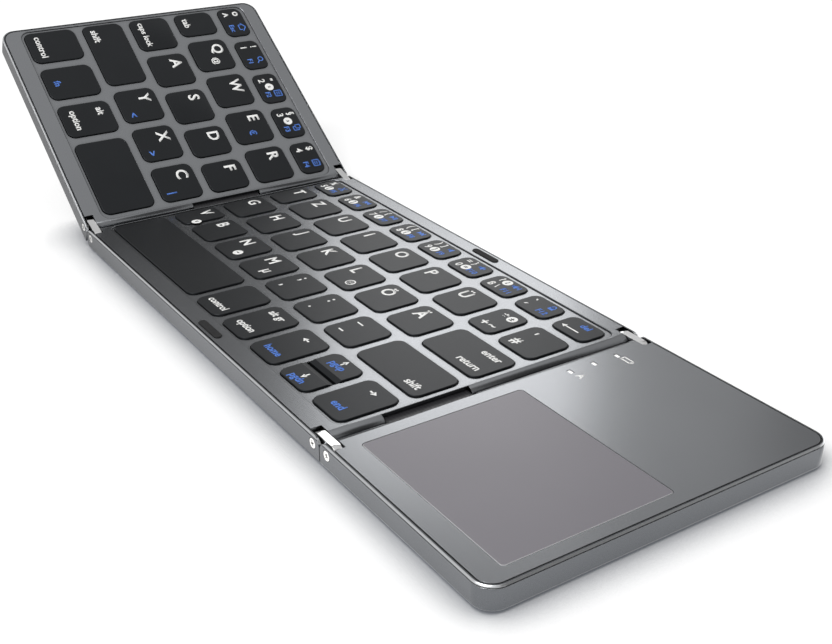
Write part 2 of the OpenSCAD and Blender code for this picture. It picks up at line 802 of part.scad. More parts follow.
// Section of the port's mouth, grown all round
module port_section(grow) {
    translate([-port_w / 2 - grow, -port_h / 2 - grow]) pill(port_w + 2 * grow, port_h + 2 * grow);
}

module right_bottom_case() {
    color("#5c5d61") right_wing() difference() {
        bottom_case(right_w, false);
        at_port() translate([0, 0, -wall_t])
            linear_extrude(wall_t + port_l) port_section(port_wall + 2 * fit);
    }
}

// Light windows, one behind the other
module window_holes(grow) {
    for (i = [0:2]) translate([window_x - grow, depth - window_back - i * window_pitch - window_d / 2 - grow])
        square([window_w + 2 * grow, window_d + 2 * grow]);
}

module right_deck() {
    inner_w = touch_w - 2 * touch_ledge;
    inner_d = touch_d - 2 * touch_ledge;
    color("#77787c") right_wing() difference() {
        plain_deck(right_w, false, [right_cable_y, 0]);
        translate([touch_x - touch_clear, touch_y - touch_clear, case_h - touch_t])
            linear_extrude(touch_t + 1)
                rounded_rect(touch_w + 2 * touch_clear, touch_d + 2 * touch_clear, touch_r + touch_clear);
        translate([touch_x + touch_ledge, touch_y + touch_ledge, deck_low - 1]) linear_extrude(deck_t + 1)
            rounded_rect(inner_w, inner_d, touch_r);
        translate([0, 0, deck_low - 1]) linear_extrude(deck_t + 2) window_holes(fit);
    }
}

module touchpad_glass() {
    color("#6f6b70") right_wing() translate([touch_x, touch_y, case_h - touch_t])
        linear_extrude(touch_t) rounded_rect(touch_w, touch_d, touch_r);
}

module touchpad_board() {
    edge = touch_ledge + touch_board_clear;
    t = deck_t - touch_t;
    color("#2f5d3a") right_wing() translate([touch_x + edge, touch_y + edge, deck_low])
        linear_extrude(t) rounded_rect(touch_w - 2 * edge, touch_d - 2 * edge, touch_r);
}

module battery_cell() {
    color("#b7bcc4") right_wing() translate([touch_x + battery_in, touch_y + battery_in, floor_t])
        linear_extrude(battery_h) rounded_rect(battery_w, battery_d, battery_r);
}

module main_board() {
    color("#2f5d3a") right_wing()
        translate([pin_in + boss_w / 2 + 4 * fit, depth - inner_in - board_d, floor_t])
            cube([board_w, board_d, board_t]);
}

module charging_port() {
    tongue_w = port_w - port_h;
    tongue_t = port_h / 3;
    color("#c3c6ca") right_wing() at_port() {
        difference() {
            linear_extrude(port_l) port_section(port_wall);
            translate([0, 0, -eps]) linear_extrude(port_l - port_wall) port_section(0);
        }
        translate([-tongue_w / 2, -tongue_t / 2, port_h / 2])
            cube([tongue_w, tongue_t, port_l - port_h / 2 - port_wall / 2]);
    }
}

module light_windows() {
    color("#f2f4f7") right_wing() translate([0, 0, board_top])
        linear_extrude(case_h - window_down - board_top) window_holes(0);
}

module right_hinge_screws() { color("#b9bbbf") right_wing() hinge_screw_pair(); }

module right_rubber_feet() { color("#1c1c1e") right_wing() wing_feet(right_w); }

module left_hinge_links() { color("#dfe1e4") left_side() link_frame(left_open) hinge_links(); }

module right_hinge_links() { color("#dfe1e4") right_side() link_frame(right_open) hinge_links(); }

module left_flat_cable() {
    color("#2b2b2e") left_side() link_frame(left_open) flat_cable(left_open, left_cable_y);
}

module right_flat_cable() {
    color("#2b2b2e") right_side() link_frame(right_open) flat_cable(right_open, right_cable_y);
}

// Keys of a row, by the row's number from the front and the keys' numbers in it
module middle_keys(row, from, to) {
    color("#2e2f32") on_base() for (k = row_keys(middle_rows, middle_start, row, from, to)) key_cap(k);
}

module left_keys(row, from, to) {
    color("#2e2f32") left_wing() for (k = row_keys(left_rows, left_start, row, from, to)) key_cap(k);
}

module number_keys_left() { left_keys(4, 0, 3); }
module esc_key() { left_keys(4, 4, 4); }
module tab_key() { left_keys(3, 4, 4); }
module top_letter_keys_left() { left_keys(3, 0, 3); }
module caps_lock_key() { left_keys(2, 4, 4); }
module home_letter_keys_left() { left_keys(2, 0, 3); }
module left_shift_key() { left_keys(1, 3, 3); }
module bottom_letter_keys_left() { left_keys(1, 0, 2); }
module modifier_keys_left() { left_keys(0, 1, 3); }
module left_space_key() { left_keys(0, 0, 0); }
module number_keys_middle() { middle_keys(4, 0, 7); }
module backspace_key() { middle_keys(4, 8, 8); }
module top_letter_keys_middle() { middle_keys(3, 0, 8); }
module home_letter_keys_middle() { middle_keys(2, 0, 6); }
module enter_key() { middle_keys(2, 7, 7); }
module bottom_letter_keys_middle() { middle_keys(1, 0, 6); }
module right_shift_key() { middle_keys(1, 7, 7); }
module right_space_key() { middle_keys(0, 0, 0); }
module modifier_keys_middle() { middle_keys(0, 1, 2); }
module arrow_left_key() { middle_keys(0, 3, 3); }
module arrow_right_key() { middle_keys(0, 5, 5); }
module arrow_up_key() { color("#2e2f32") on_base() arrow_cap(0); }
module arrow_down_key() { color("#2e2f32") on_base() arrow_cap(180); }

middle_bottom_case();
middle_deck();
middle_support_plate();
middle_membrane();
middle_rubber_domes();
middle_scissors();
middle_hinge_screws();
middle_rubber_feet();
fold_bumpers();
left_bottom_case();
left_deck();
left_support_plate();
left_membrane();
left_rubber_domes();
left_scissors();
left_hinge_screws();
left_rubber_feet();
right_bottom_case();
right_deck();
touchpad_glass();
touchpad_board();
battery_cell();
main_board();
charging_port();
light_windows();
right_hinge_screws();
right_rubber_feet();
left_hinge_links();
left_flat_cable();
right_hinge_links();
right_flat_cable();
number_keys_left();
esc_key();
tab_key();
top_letter_keys_left();
caps_lock_key();
home_letter_keys_left();
left_shift_key();
bottom_letter_keys_left();
modifier_keys_left();
left_space_key();
number_keys_middle();
backspace_key();
top_letter_keys_middle();
home_letter_keys_middle();
enter_key();
bottom_letter_keys_middle();
right_shift_key();
right_space_key();
modifier_keys_middle();
arrow_left_key();
arrow_right_key();
arrow_up_key();
arrow_down_key();
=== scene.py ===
import json
import math
import bpy
from mathutils import Matrix, Vector

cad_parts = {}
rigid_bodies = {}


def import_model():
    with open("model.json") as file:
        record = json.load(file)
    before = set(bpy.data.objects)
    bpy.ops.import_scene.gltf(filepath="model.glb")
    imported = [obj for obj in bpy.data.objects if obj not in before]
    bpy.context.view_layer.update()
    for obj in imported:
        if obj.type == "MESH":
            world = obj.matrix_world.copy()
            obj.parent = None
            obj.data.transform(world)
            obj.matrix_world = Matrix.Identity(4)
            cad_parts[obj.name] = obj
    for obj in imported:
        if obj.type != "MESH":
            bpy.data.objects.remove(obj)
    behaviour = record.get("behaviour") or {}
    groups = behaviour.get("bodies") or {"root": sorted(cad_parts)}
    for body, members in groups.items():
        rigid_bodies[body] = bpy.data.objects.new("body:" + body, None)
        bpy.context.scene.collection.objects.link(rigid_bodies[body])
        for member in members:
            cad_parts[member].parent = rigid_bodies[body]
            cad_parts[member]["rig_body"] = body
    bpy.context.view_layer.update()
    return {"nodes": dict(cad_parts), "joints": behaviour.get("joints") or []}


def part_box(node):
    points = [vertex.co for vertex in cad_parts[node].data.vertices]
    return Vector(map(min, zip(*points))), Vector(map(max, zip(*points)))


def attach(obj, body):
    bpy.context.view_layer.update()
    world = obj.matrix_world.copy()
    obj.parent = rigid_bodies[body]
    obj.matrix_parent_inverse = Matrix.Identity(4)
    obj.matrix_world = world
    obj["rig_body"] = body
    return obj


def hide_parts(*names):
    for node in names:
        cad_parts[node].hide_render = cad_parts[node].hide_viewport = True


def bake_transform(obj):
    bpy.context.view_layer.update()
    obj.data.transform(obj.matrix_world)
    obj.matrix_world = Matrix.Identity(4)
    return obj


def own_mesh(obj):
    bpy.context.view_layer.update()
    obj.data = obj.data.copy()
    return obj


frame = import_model()
nodes = frame["nodes"]
joints = {j["name"]: j for j in frame["joints"]}
mm = 0.001
print("frame loaded:", len(nodes), "nodes")

cameraSettings = {
    "place": (0.28985, -0.15567, 0.15024),  # metres, right and in front of the keyboard
    "turn": (63.25, 0.044, 56.417),  # degrees, looks down about 27
    "lens": 51.51,
    "sensor": 36,
    "shiftX": -0.0168,
    "shiftY": 0.0156,
    "nearest": 0.01,  # metres from which things show
}


def addCamera(settings):
    data = bpy.data.cameras.new("viewCamera")
    data.lens = settings["lens"]
    data.sensor_width = settings["sensor"]
    data.shift_x = settings["shiftX"]
    data.shift_y = settings["shiftY"]
    data.clip_start = settings["nearest"]
    data.dof.use_dof = False
    camera = bpy.data.objects.new("viewCamera", data)
    camera.location = settings["place"]
    camera.rotation_euler = [math.radians(a) for a in settings["turn"]]
    bpy.context.scene.collection.objects.link(camera)
    bpy.context.scene.camera = camera


addCamera(cameraSettings)
bpy.context.scene.view_settings.view_transform = "Standard"
print("camera set")


def linear(hexCode):
    # sRGB hex to the linear colour that a shader socket takes
    parts = [int(hexCode[i : i + 2], 16) / 255 for i in (1, 3, 5)]
    return tuple([c / 12.92 if c <= 0.04045 else ((c + 0.055) / 1.055) ** 2.4 for c in parts] + [1.0])


def grey(value):
    return (value, value, value, 1.0)


def addNode(tree, kind, links=None, stops=None, **settings):
    # links: input name or number -> plain value, or (node, output)
    # stops: the positions and colours along a colour ramp
    new = tree.nodes.new(kind)
    for name, value in settings.items():
        setattr(new, name, value)
    for name, value in (links or {}).items():
        if isinstance(value, tuple) and isinstance(value[0], bpy.types.Node):
            tree.links.new(value[0].outputs[value[1]], new.inputs[name])
        else:
            new.inputs[name].default_value = value
    if stops:
        marks = new.color_ramp.elements
        marks[0].position, marks[0].color = stops[0]
        marks[1].position, marks[1].color = stops[-1]
        for position, colour in stops[1:-1]:
            marks.new(position).color = colour
    return new


# the noise behind every finish: its detail, and between which values colour and roughness change
finishNoise = {
    "patchDetail": 3.0,
    "patchSpread": (0.35, 0.65),
    "grainDetail": 2.0,
    "grainSpread": (0.3, 0.7),
}


def makeFinish(name, look):
    # one Principled surface: two close colours in soft patches, roughness that wanders, and a fine
    # grain as bump
    material = bpy.data.materials.new(name)
    material.use_nodes = True
    tree = material.node_tree
    tree.nodes.clear()
    place = addNode(tree, "ShaderNodeTexCoord", name="place")
    stretch = addNode(
        tree, "ShaderNodeMapping", {"Vector": (place, "Object"), "Scale": look.get("stretch", (1, 1, 1))}
    )
    patches = addNode(
        tree,
        "ShaderNodeTexNoise",
        {
            "Vector": (place, "Object"),
            "Scale": 1 / (look["patchMm"] * mm),
            "Detail": finishNoise["patchDetail"],
        },
    )
    grain = addNode(
        tree,
        "ShaderNodeTexNoise",
        {
            "Vector": (stretch, "Vector"),
            "Scale": 1 / (look["grainMm"] * mm),
            "Detail": finishNoise["grainDetail"],
        },
    )
    colours = (linear(look["colour"]), linear(look["colourOther"]))
    colour = addNode(
        tree,
        "ShaderNodeValToRGB",
        {"Fac": (patches, "Fac")},
        list(zip(finishNoise["patchSpread"], colours)),
    )
    rough = addNode(
        tree,
        "ShaderNodeValToRGB",
        {"Fac": (grain, "Fac")},
        list(zip(finishNoise["grainSpread"], map(grey, look["roughness"]))),
    )
    bump = addNode(
        tree,
        "ShaderNodeBump",
        {"Height": (grain, "Fac"), "Strength": look["bump"], "Distance": look["bumpMm"] * mm},
    )
    shader = addNode(
        tree,
        "ShaderNodeBsdfPrincipled",
        {
            "Base Color": (colour, "Color"),
            "Roughness": (rough, "Color"),
            "Normal": (bump, "Normal"),
            "Metallic": look.get("metallic", 0.0),
        },
        name="shader",
    )
    for socket, value in look.get("sockets", {}).items():
        shader.inputs[socket].default_value = value
    addNode(tree, "ShaderNodeOutputMaterial", {"Surface": (shader, "BSDF")})
    return material


def layOver(tree, socket, amount, other, blend="MIX"):
    # lays another colour or value over what one of the shader's sockets gets so far
    target = tree.nodes["shader"].inputs[socket]
    mix = addNode(
        tree,
        "ShaderNodeMixRGB",
        {"Fac": amount, "Color1": (target.links[0].from_node, "Color"), "Color2": other},
        blend_type=blend,
    )
    tree.links.new(mix.outputs["Color"], target)


def addLines(material, axis, pitchMm, lineHex, share):
    # parallel lines of another colour, such as printed or etched tracks. share is how much of the
    # pitch a line takes
    tree = material.node_tree
    parts = addNode(tree, "ShaderNodeSeparateXYZ", {"Vector": (tree.nodes["place"], "Object")})
    steps = addNode(tree, "ShaderNodeMath", {0: (parts, axis), 1: 1 / (pitchMm * mm)}, operation="MULTIPLY")
    saw = addNode(tree, "ShaderNodeMath", {0: (steps, 0)}, operation="FRACT")
    line = addNode(tree, "ShaderNodeMath", {0: (saw, 0), 1: share}, operation="LESS_THAN")
    layOver(tree, "Base Color", (line, 0), linear(lineHex))
    return material


# colour and ray count of the painted shade laid into seams and grooves
seamShadeSettings = {"colour": "#0a0a0b", "samples": 2}


def paintSeamShade(material, reachMm, low, high):
    # painted shade: darkens grooves and parting lines narrower than reach, where shade falls. low and high
    # are the shares of open space around a spot at which the shade is full and gone
    tree = material.node_tree
    openness = addNode(
        tree, "ShaderNodeAmbientOcclusion", {"Distance": reachMm * mm}, samples=seamShadeSettings["samples"]
    )
    shade = addNode(
        tree,
        "ShaderNodeValToRGB",
        {"Fac": (openness, "AO")},
        [(low, linear(seamShadeSettings["colour"])), (high, grey(1.0))],
    )
    layOver(tree, "Base Color", 1.0, (shade, "Color"), "MULTIPLY")
    return material


def polishChamfer(material, up, look):
    # the edge that a diamond tool cuts at 45 degrees to the panel's up, bright beside the blasted faces
    tree = material.node_tree
    lean = addNode(
        tree, "ShaderNodeVectorMath", {0: (tree.nodes["place"], "Normal"), 1: up}, operation="DOT_PRODUCT"
    )
    cut = addNode(
        tree,
        "ShaderNodeValToRGB",
        {"Fac": (lean, "Value")},
        list(zip(look["lean"], map(grey, (0.0, 1.0, 1.0, 0.0)))),
    )
    layOver(tree, "Base Color", (cut, "Color"), linear(look["colour"]))
    layOver(tree, "Roughness", (cut, "Color"), grey(look["roughness"]))


# bead-blasted, grey anodised aluminium: a fine satin that spreads each reflection and fades with
# the light. Painted shade darkens it in its grooves, around the keys and along its parting lines
anodisedAluminium = paintSeamShade(
    makeFinish(
        "anodisedAluminiumBlasted",
        {
            "colour": "#8f9194",
            "colourOther": "#939598",
            "roughness": (0.21, 0.25),
            "metallic": 1.0,
            "grainMm": 0.25,  # the blasting is finer, about 0.05 mm, and is drawn coarser so that it shows
            "bump": 0.03,
            "bumpMm": 0.003,
            "patchMm": 60,
        },
    ),
    reachMm=1.6,
    low=0.35,
    high=0.85,
)
# the same metal on the outer shell, coloured a shade deeper than the deck: painted shade for the
# tray's side walls. Its upper edge is cut bright, so each panel's shell needs to know which way is up
shadedShellLook = {
    "colour": "#595b5e",
    "colourOther": "#5d5f62",
    "roughness": (0.26, 0.31),
    "metallic": 1.0,
    "grainMm": 0.25,
    "bump": 0.06,
    "bumpMm": 0.004,
    "patchMm": 60,
}
chamferLook = {
    "colour": "#e2e4e6",
    "roughness": 0.3,
    # cosine of a face's lean from up: the cut begins, is full from here to here, and ends
    "lean": (0.42, 0.5, 0.88, 0.94),
}


def makeShell(name, up):
    shell = makeFinish(name, shadedShellLook)
    polishChamfer(shell, up, chamferLook)
    # painted shade in the groove between the shell's rim and the deck, and in its other seams
    return paintSeamShade(shell, reachMm=0.4, low=0.5, high=0.9)


# moulded ABS with a soft-touch coat: nearly black, with a broad dim sheen
keyPlastic = makeFinish(
    "mouldedAbsSoftTouch",
    {
        "colour": "#0f1113",
        "colourOther": "#121416",
        "roughness": (0.32, 0.38),
        "grainMm": 0.2,  # spark-eroded mould texture, about 0.05 mm, drawn coarser
        "bump": 0.2,
        "bumpMm": 0.008,
        "patchMm": 15,
        "sockets": {"IOR": 1.38, "Specular Tint": (0.9, 0.94, 1.0, 1.0)},
    },
)
# pad-printed ink, flat and with slightly uneven cover: white, and a cool blue for the function layer
inkLook = {"roughness": (0.5, 0.6), "grainMm": 0.3, "bump": 0.1, "bumpMm": 0.004, "patchMm": 2}
whiteInk = makeFinish("padPrintedInkWhite", {**inkLook, "colour": "#fafaf8", "colourOther": "#f2f2f0"})
blueInk = makeFinish("padPrintedInkBlue", {**inkLook, "colour": "#4f80da", "colourOther": "#4a7ad4"})
# nickel-plated steel, tumbled: bright, with short faint scratches along the barrel, and painted shade in
# its seams and recesses
nickelSteel = paintSeamShade(
    makeFinish(
        "nickelPlatedSteel",
        {
            "colour": "#f4f3f0",
            "colourOther": "#eeedea",
            "roughness": (0.16, 0.26),
            "metallic": 1.0,
            "grainMm": 0.35,
            "stretch": (1, 0.15, 1),
            "bump": 0.1,
            "bumpMm": 0.004,
            "patchMm": 3,
        },
    ),
    reachMm=0.5,
    low=0.4,
    high=0.85,
)
# zinc link blocks, die-cast and satin chromed
satinChrome = makeFinish(
    "dieCastZincSatinChrome",
    {
        "colour": "#eeeeee",
        "colourOther": "#e8e8e8",
        "roughness": (0.11, 0.14),
        "metallic": 1.0,
        "grainMm": 0.8,
        "bump": 0.04,
        "bumpMm": 0.004,
        "patchMm": 4,
    },
)
# rolled stainless sheet: grain runs along the keyboard
brushedSteel = makeFinish(
    "rolledStainlessSheet",
    {
        "colour": "#a9a9a6",
        "colourOther": "#9f9f9c",
        "roughness": (0.28, 0.42),
        "metallic": 1.0,
        "grainMm": 0.3,
        "stretch": (0.04, 1, 1),
        "bump": 0.25,
        "bumpMm": 0.006,
        "patchMm": 25,
    },
)
# black silicone rubber, moulded matt, a little dusty
siliconeRubber = makeFinish(
    "mouldedSiliconeBlack",
    {
        "colour": "#19191a",
        "colourOther": "#1f1f20",
        "roughness": (0.62, 0.8),
        "grainMm": 0.5,
        "bump": 0.35,
        "bumpMm": 0.02,
        "patchMm": 4,
        "sockets": {"IOR": 1.42},
    },
)
# clear silicone domes: milky, light passes through the thin wall
domeSilicone = makeFinish(
    "mouldedSiliconeClear",
    {
        "colour": "#c9ccce",
        "colourOther": "#d2d4d6",
        "roughness": (0.3, 0.45),
        "grainMm": 0.8,
        "bump": 0.15,
        "bumpMm": 0.02,
        "patchMm": 6,
        "sockets": {"IOR": 1.42, "Transmission Weight": 0.35},
    },
)
# acetal scissor frames: waxy, off-white
acetal = makeFinish(
    "mouldedAcetal",
    {
        "colour": "#dcdad2",
        "colourOther": "#d4d2ca",
        "roughness": (0.35, 0.5),
        "grainMm": 0.6,
        "bump": 0.15,
        "bumpMm": 0.01,
        "patchMm": 8,
        "sockets": {"IOR": 1.48},
    },
)
# polyester contact film with printed silver tracks
contactFilm = addLines(
    makeFinish(
        "polyesterContactFilm",
        {
            "colour": "#8fa39b",
            "colourOther": "#9aaca5",
            "roughness": (0.15, 0.3),
            "grainMm": 2.0,
            "bump": 0.1,
            "bumpMm": 0.02,
            "patchMm": 20,
        },
    ),
    axis="Y",
    pitchMm=3.2,
    lineHex="#d6d8d8",
    share=0.16,
)
# etched glass over the touch sensor: cool grey with a slight purple cast and a soft, even sheen
etchedGlass = makeFinish(
    "etchedTouchGlass",
    {
        "colour": "#747177",
        "colourOther": "#767379",
        "roughness": (0.3, 0.34),
        "grainMm": 0.2,
        "bump": 0.08,
        "bumpMm": 0.004,
        "patchMm": 30,
        "sockets": {"IOR": 1.52},
    },
)
# the ground and polished rim of that glass, paler than its face
groundGlass = makeFinish(
    "groundGlassRim",
    {
        "colour": "#b9b9bc",
        "colourOther": "#c1c1c4",
        "roughness": (0.3, 0.4),
        "grainMm": 0.2,
        "bump": 0.1,
        "bumpMm": 0.004,
        "patchMm": 10,
        "sockets": {"IOR": 1.52},
    },
)
# fibreglass board under green solder mask, tracks just showing
solderMask = addLines(
    makeFinish(
        "fibreglassSolderMask",
        {
            "colour": "#1d5a36",
            "colourOther": "#216240",
            "roughness": (0.25, 0.4),
            "grainMm": 1.0,
            "bump": 0.2,
            "bumpMm": 0.03,
            "patchMm": 12,
        },
    ),
    axis="X",
    pitchMm=1.6,
    lineHex="#2c7a4c",
    share=0.22,
)
# aluminium-laminate pouch of the flat cell, slightly puckered
pouchFoil = makeFinish(
    "laminatePouchFoil",
    {
        "colour": "#bfc1c3",
        "colourOther": "#b3b5b8",
        "roughness": (0.22, 0.4),
        "metallic": 1.0,
        "grainMm": 3.0,
        "bump": 0.4,
        "bumpMm": 0.15,
        "patchMm": 14,
    },
)
# milky polycarbonate light pipes, with a faint painted glow that keeps them bright white
milkyWindow = makeFinish(
    "milkyPolycarbonate",
    {
        "colour": "#fbfbfa",
        "colourOther": "#f4f5f5",
        "roughness": (0.25, 0.35),
        "grainMm": 0.4,
        "bump": 0.1,
        "bumpMm": 0.01,
        "patchMm": 2,
        "sockets": {"Emission Color": (1, 1, 1, 1), "Emission Strength": 0.35},
    },
)
# black polyimide ribbon: copper tracks raise faint ribs along it, drawn as lighter lines, a painted
# highlight on the ribs
ribbonFilm = addLines(
    makeFinish(
        "polyimideRibbon",
        {
            "colour": "#232325",
            "colourOther": "#29292b",
            "roughness": (0.3, 0.42),
            "grainMm": 0.6,
            "bump": 0.2,
            "bumpMm": 0.02,
            "patchMm": 8,
        },
    ),
    axis="Y",
    pitchMm=1.0,
    lineHex="#303033",
    share=0.5,
)
print("materials made:", len(bpy.data.materials))

# the three panels' own frames: x from the parting plane, y from the front, z from the case's bottom, in
# millimetres. Each is found from the hinge pin that it carries
pinFromParting = 3.3
pinAboveBottom = 3.8
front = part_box("middle_bottom_case")[0].y


def pinOf(name):
    return Vector(joints[name]["pos_m"])


def panelFrame(pin, side, tilt):
    # side is -1 where the panel lies left of its pin's parting plane, +1 where it lies right of it
    turn = Matrix.Rotation(tilt, 4, "Y")
    pinInPanel = Vector((side * pinFromParting, 0, pinAboveBottom)) * mm
    corner = Vector((pin.x, front, pin.z)) - turn.to_3x3() @ pinInPanel
    return Matrix.Translation(corner) @ turn @ Matrix.Scale(mm, 4)


leftPins = pinOf("left_outer_hinge") - pinOf("left_inner_hinge")
leftTilt = 2 * math.atan2(leftPins.z, -leftPins.x)
panels = {
    "middle": panelFrame(pinOf("left_inner_hinge"), 1, 0),
    "left": panelFrame(pinOf("left_outer_hinge"), -1, leftTilt),
    "right": panelFrame(pinOf("right_outer_hinge"), 1, 0),
}


def upOf(panel):
    return panels[panel].to_3x3().col[2].normalized()


def panelOfKey(key):
    return "left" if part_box(key)[0].x < panels["middle"].translation.x else "middle"


def deselectAll():
    for item in bpy.context.selected_objects:
        item.select_set(False)


def selectOnly(piece):
    deselectAll()
    piece.select_set(True)
    bpy.context.view_layer.objects.active = piece


def joined(pieces, name):
    selectOnly(pieces[0])
    for piece in pieces:
        piece.select_set(True)
    if len(pieces) > 1:
        bpy.ops.object.join()
    piece = bpy.context.view_layer.objects.active
    piece.name = name
    piece.data.name = name
    return piece


def settle(piece, panel):
    # puts the piece's place on its panel into its mesh and leaves the object at the origin
    piece.data.transform(panels[panel] @ piece.matrix_world)
    piece.matrix_world = Matrix.Identity(4)
    piece.data.update()


def dress(piece, material, body=None):
    piece.data.materials.clear()
    piece.data.materials.append(material)
    if body:
        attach(piece, body)
    return piece


def applyModifiers(piece):
    selectOnly(piece)
    for name in [m.name for m in piece.modifiers]:
        bpy.ops.object.modifier_apply(modifier=name)


# the CAD nodes keep their shape and get their finish. First, how far a sharp edge is broken, in
# millimetres
edgeBreak = {
    "metal": 0.08,
    "key": 0.06,
    "small": 0.05,
    "link": 0.25,
    "foot": 0.2,
    "pad": 0.12,
    "glass": 0.12,
    "pouch": 0.5,
    "none": 0,
}
nodeFinish = {
    "deck": (anodisedAluminium, "metal"),
    "left_bottom_case": (makeShell("anodisedShellLeft", upOf("left")), "metal"),
    "bottom_case": (makeShell("anodisedShellFlat", Vector((0, 0, 1))), "metal"),
    "support_plate": (brushedSteel, "none"),
    "membrane": (contactFilm, "none"),
    "rubber_domes": (domeSilicone, "none"),
    "scissors": (acetal, "none"),
    "hinge_screws": (nickelSteel, "small"),
    "hinge_links": (satinChrome, "link"),
    "rubber_feet": (siliconeRubber, "foot"),
    "fold_bumpers": (siliconeRubber, "pad"),
    "touchpad_glass": (etchedGlass, "glass"),
    "touchpad_board": (solderMask, "none"),
    "main_board": (solderMask, "none"),
    "battery_cell": (pouchFoil, "pouch"),
    "charging_port": (brushedSteel, "small"),
    "light_windows": (milkyWindow, "small"),
    "flat_cable": (ribbonFilm, "none"),
    "key": (keyPlastic, "key"),
}
# points closer than weldMm are one, faces that lean less than flatDegrees apart are one, and an
# edge above sharpDegrees is broken
breakSettings = {"weldMm": 0.001, "flatDegrees": 0.4, "sharpDegrees": 28, "segments": 2}


def breakEdges(node, width, settings):
    weld = node.modifiers.new("weld", "WELD")
    weld.merge_threshold = settings["weldMm"] * mm
    flat = node.modifiers.new("flat", "DECIMATE")
    flat.decimate_type = "DISSOLVE"
    flat.angle_limit = math.radians(settings["flatDegrees"])
    edge = node.modifiers.new("edge", "BEVEL")
    edge.width = width * mm
    edge.segments = settings["segments"]
    edge.limit_method = "ANGLE"
    edge.angle_limit = math.radians(settings["sharpDegrees"])
    edge.harden_normals = True


for name, node in nodes.items():
    material, edgeKind = nodeFinish[next(kind for kind in nodeFinish if kind in name)]
    dress(node, material)
    if edgeBreak[edgeKind]:
        breakEdges(node, edgeBreak[edgeKind], breakSettings)
# the glass's broken edge is its ground rim
nodes["touchpad_glass"].data.materials.append(groundGlass)
nodes["touchpad_glass"].modifiers["edge"].material = 1
print("CAD nodes dressed:", len(nodes))

# where a legend stands on its key: ink, x and y of its middle from the key's left front corner and
# capital height, in millimetres. With "start" or "end" x is where the word starts or ends; a
# negative x counts from the right edge
legendPlaces = {
    "letter": ("white", 2.4, 10.2, 4.2, "start"),
    "digit": ("white", 3.2, 3.1, 2.6, "middle"),
    "shifted": ("white", 3.2, 7.1, 2.5, "middle"),
    "third": ("white", 5.9, 7.2, 2.2, "middle"),
    "dot": ("white", 6.4, 4.8, 0, "middle"),
    "lowDot": ("white", 6.3, 3.4, 0, "middle"),
    "highDot": ("white", 5.9, 6.8, 0, "middle"),
    "lowSecond": ("white", 5.7, 3.2, 2.4, "middle"),
    "sign": ("blue", 9.9, 6.9, 0, "middle"),
    "function": ("blue", 10.0, 3.0, 2.0, "middle"),
    "upper": ("white", 4.1, 10.9, 3.5, "middle"),
    "lower": ("white", 4.1, 3.9, 3.4, "middle"),
    "upperDot": ("white", 7.3, 10.7, 0, "middle"),
    "lowerSecond": ("white", 7.3, 3.9, 3.2, "middle"),
    "accent": ("white", 2.9, 3.0, 3.4, "middle"),
    "accentAbove": ("white", 2.9, 6.9, 3.2, "middle"),
    "corner": ("white", 10.3, 4.0, 2.8, "middle"),
    "cornerBig": ("white", 10.3, 4.4, 3.8, "middle"),
    "cornerBlue": ("blue", 11.3, 3.8, 2.8, "middle"),
    "side": ("white", 10.4, 7.5, 2.4, "middle"),
    "sideBlue": ("blue", 10.1, 7.3, 2.6, "middle"),
    "word": ("white", 2.4, 3.8, 2.5, "start"),
    "longWord": ("white", 1.7, 3.8, 2.25, "start"),
    "endWord": ("white", -2.8, 3.8, 2.5, "end"),
    "endWordAbove": ("white", -2.8, 10.8, 2.5, "end"),
    "middleWord": ("white", 7.0, 4.3, 2.4, "middle"),
    "middleWordBlue": ("blue", 7.0, 4.3, 2.4, "middle"),
    "topWord": ("white", 2.8, 14.1, 2.5, "start"),
    "arrow": ("white", 6.7, 14.1, 0, "middle"),
    "arrowUp": ("white", 6.7, 6.6, 0, "middle"),
    "arrowDown": ("white", 6.7, 4.6, 0, "middle"),
    "upWord": ("blue", 6.7, 3.9, 2.3, "middle"),
    "downWord": ("blue", 6.7, 2.1, 2.3, "middle"),
    "longArrow": ("white", 5.6, 3.0, 0, "middle"),
    "nearSign": ("blue", 7.7, 6.7, 2.2, "middle"),
}
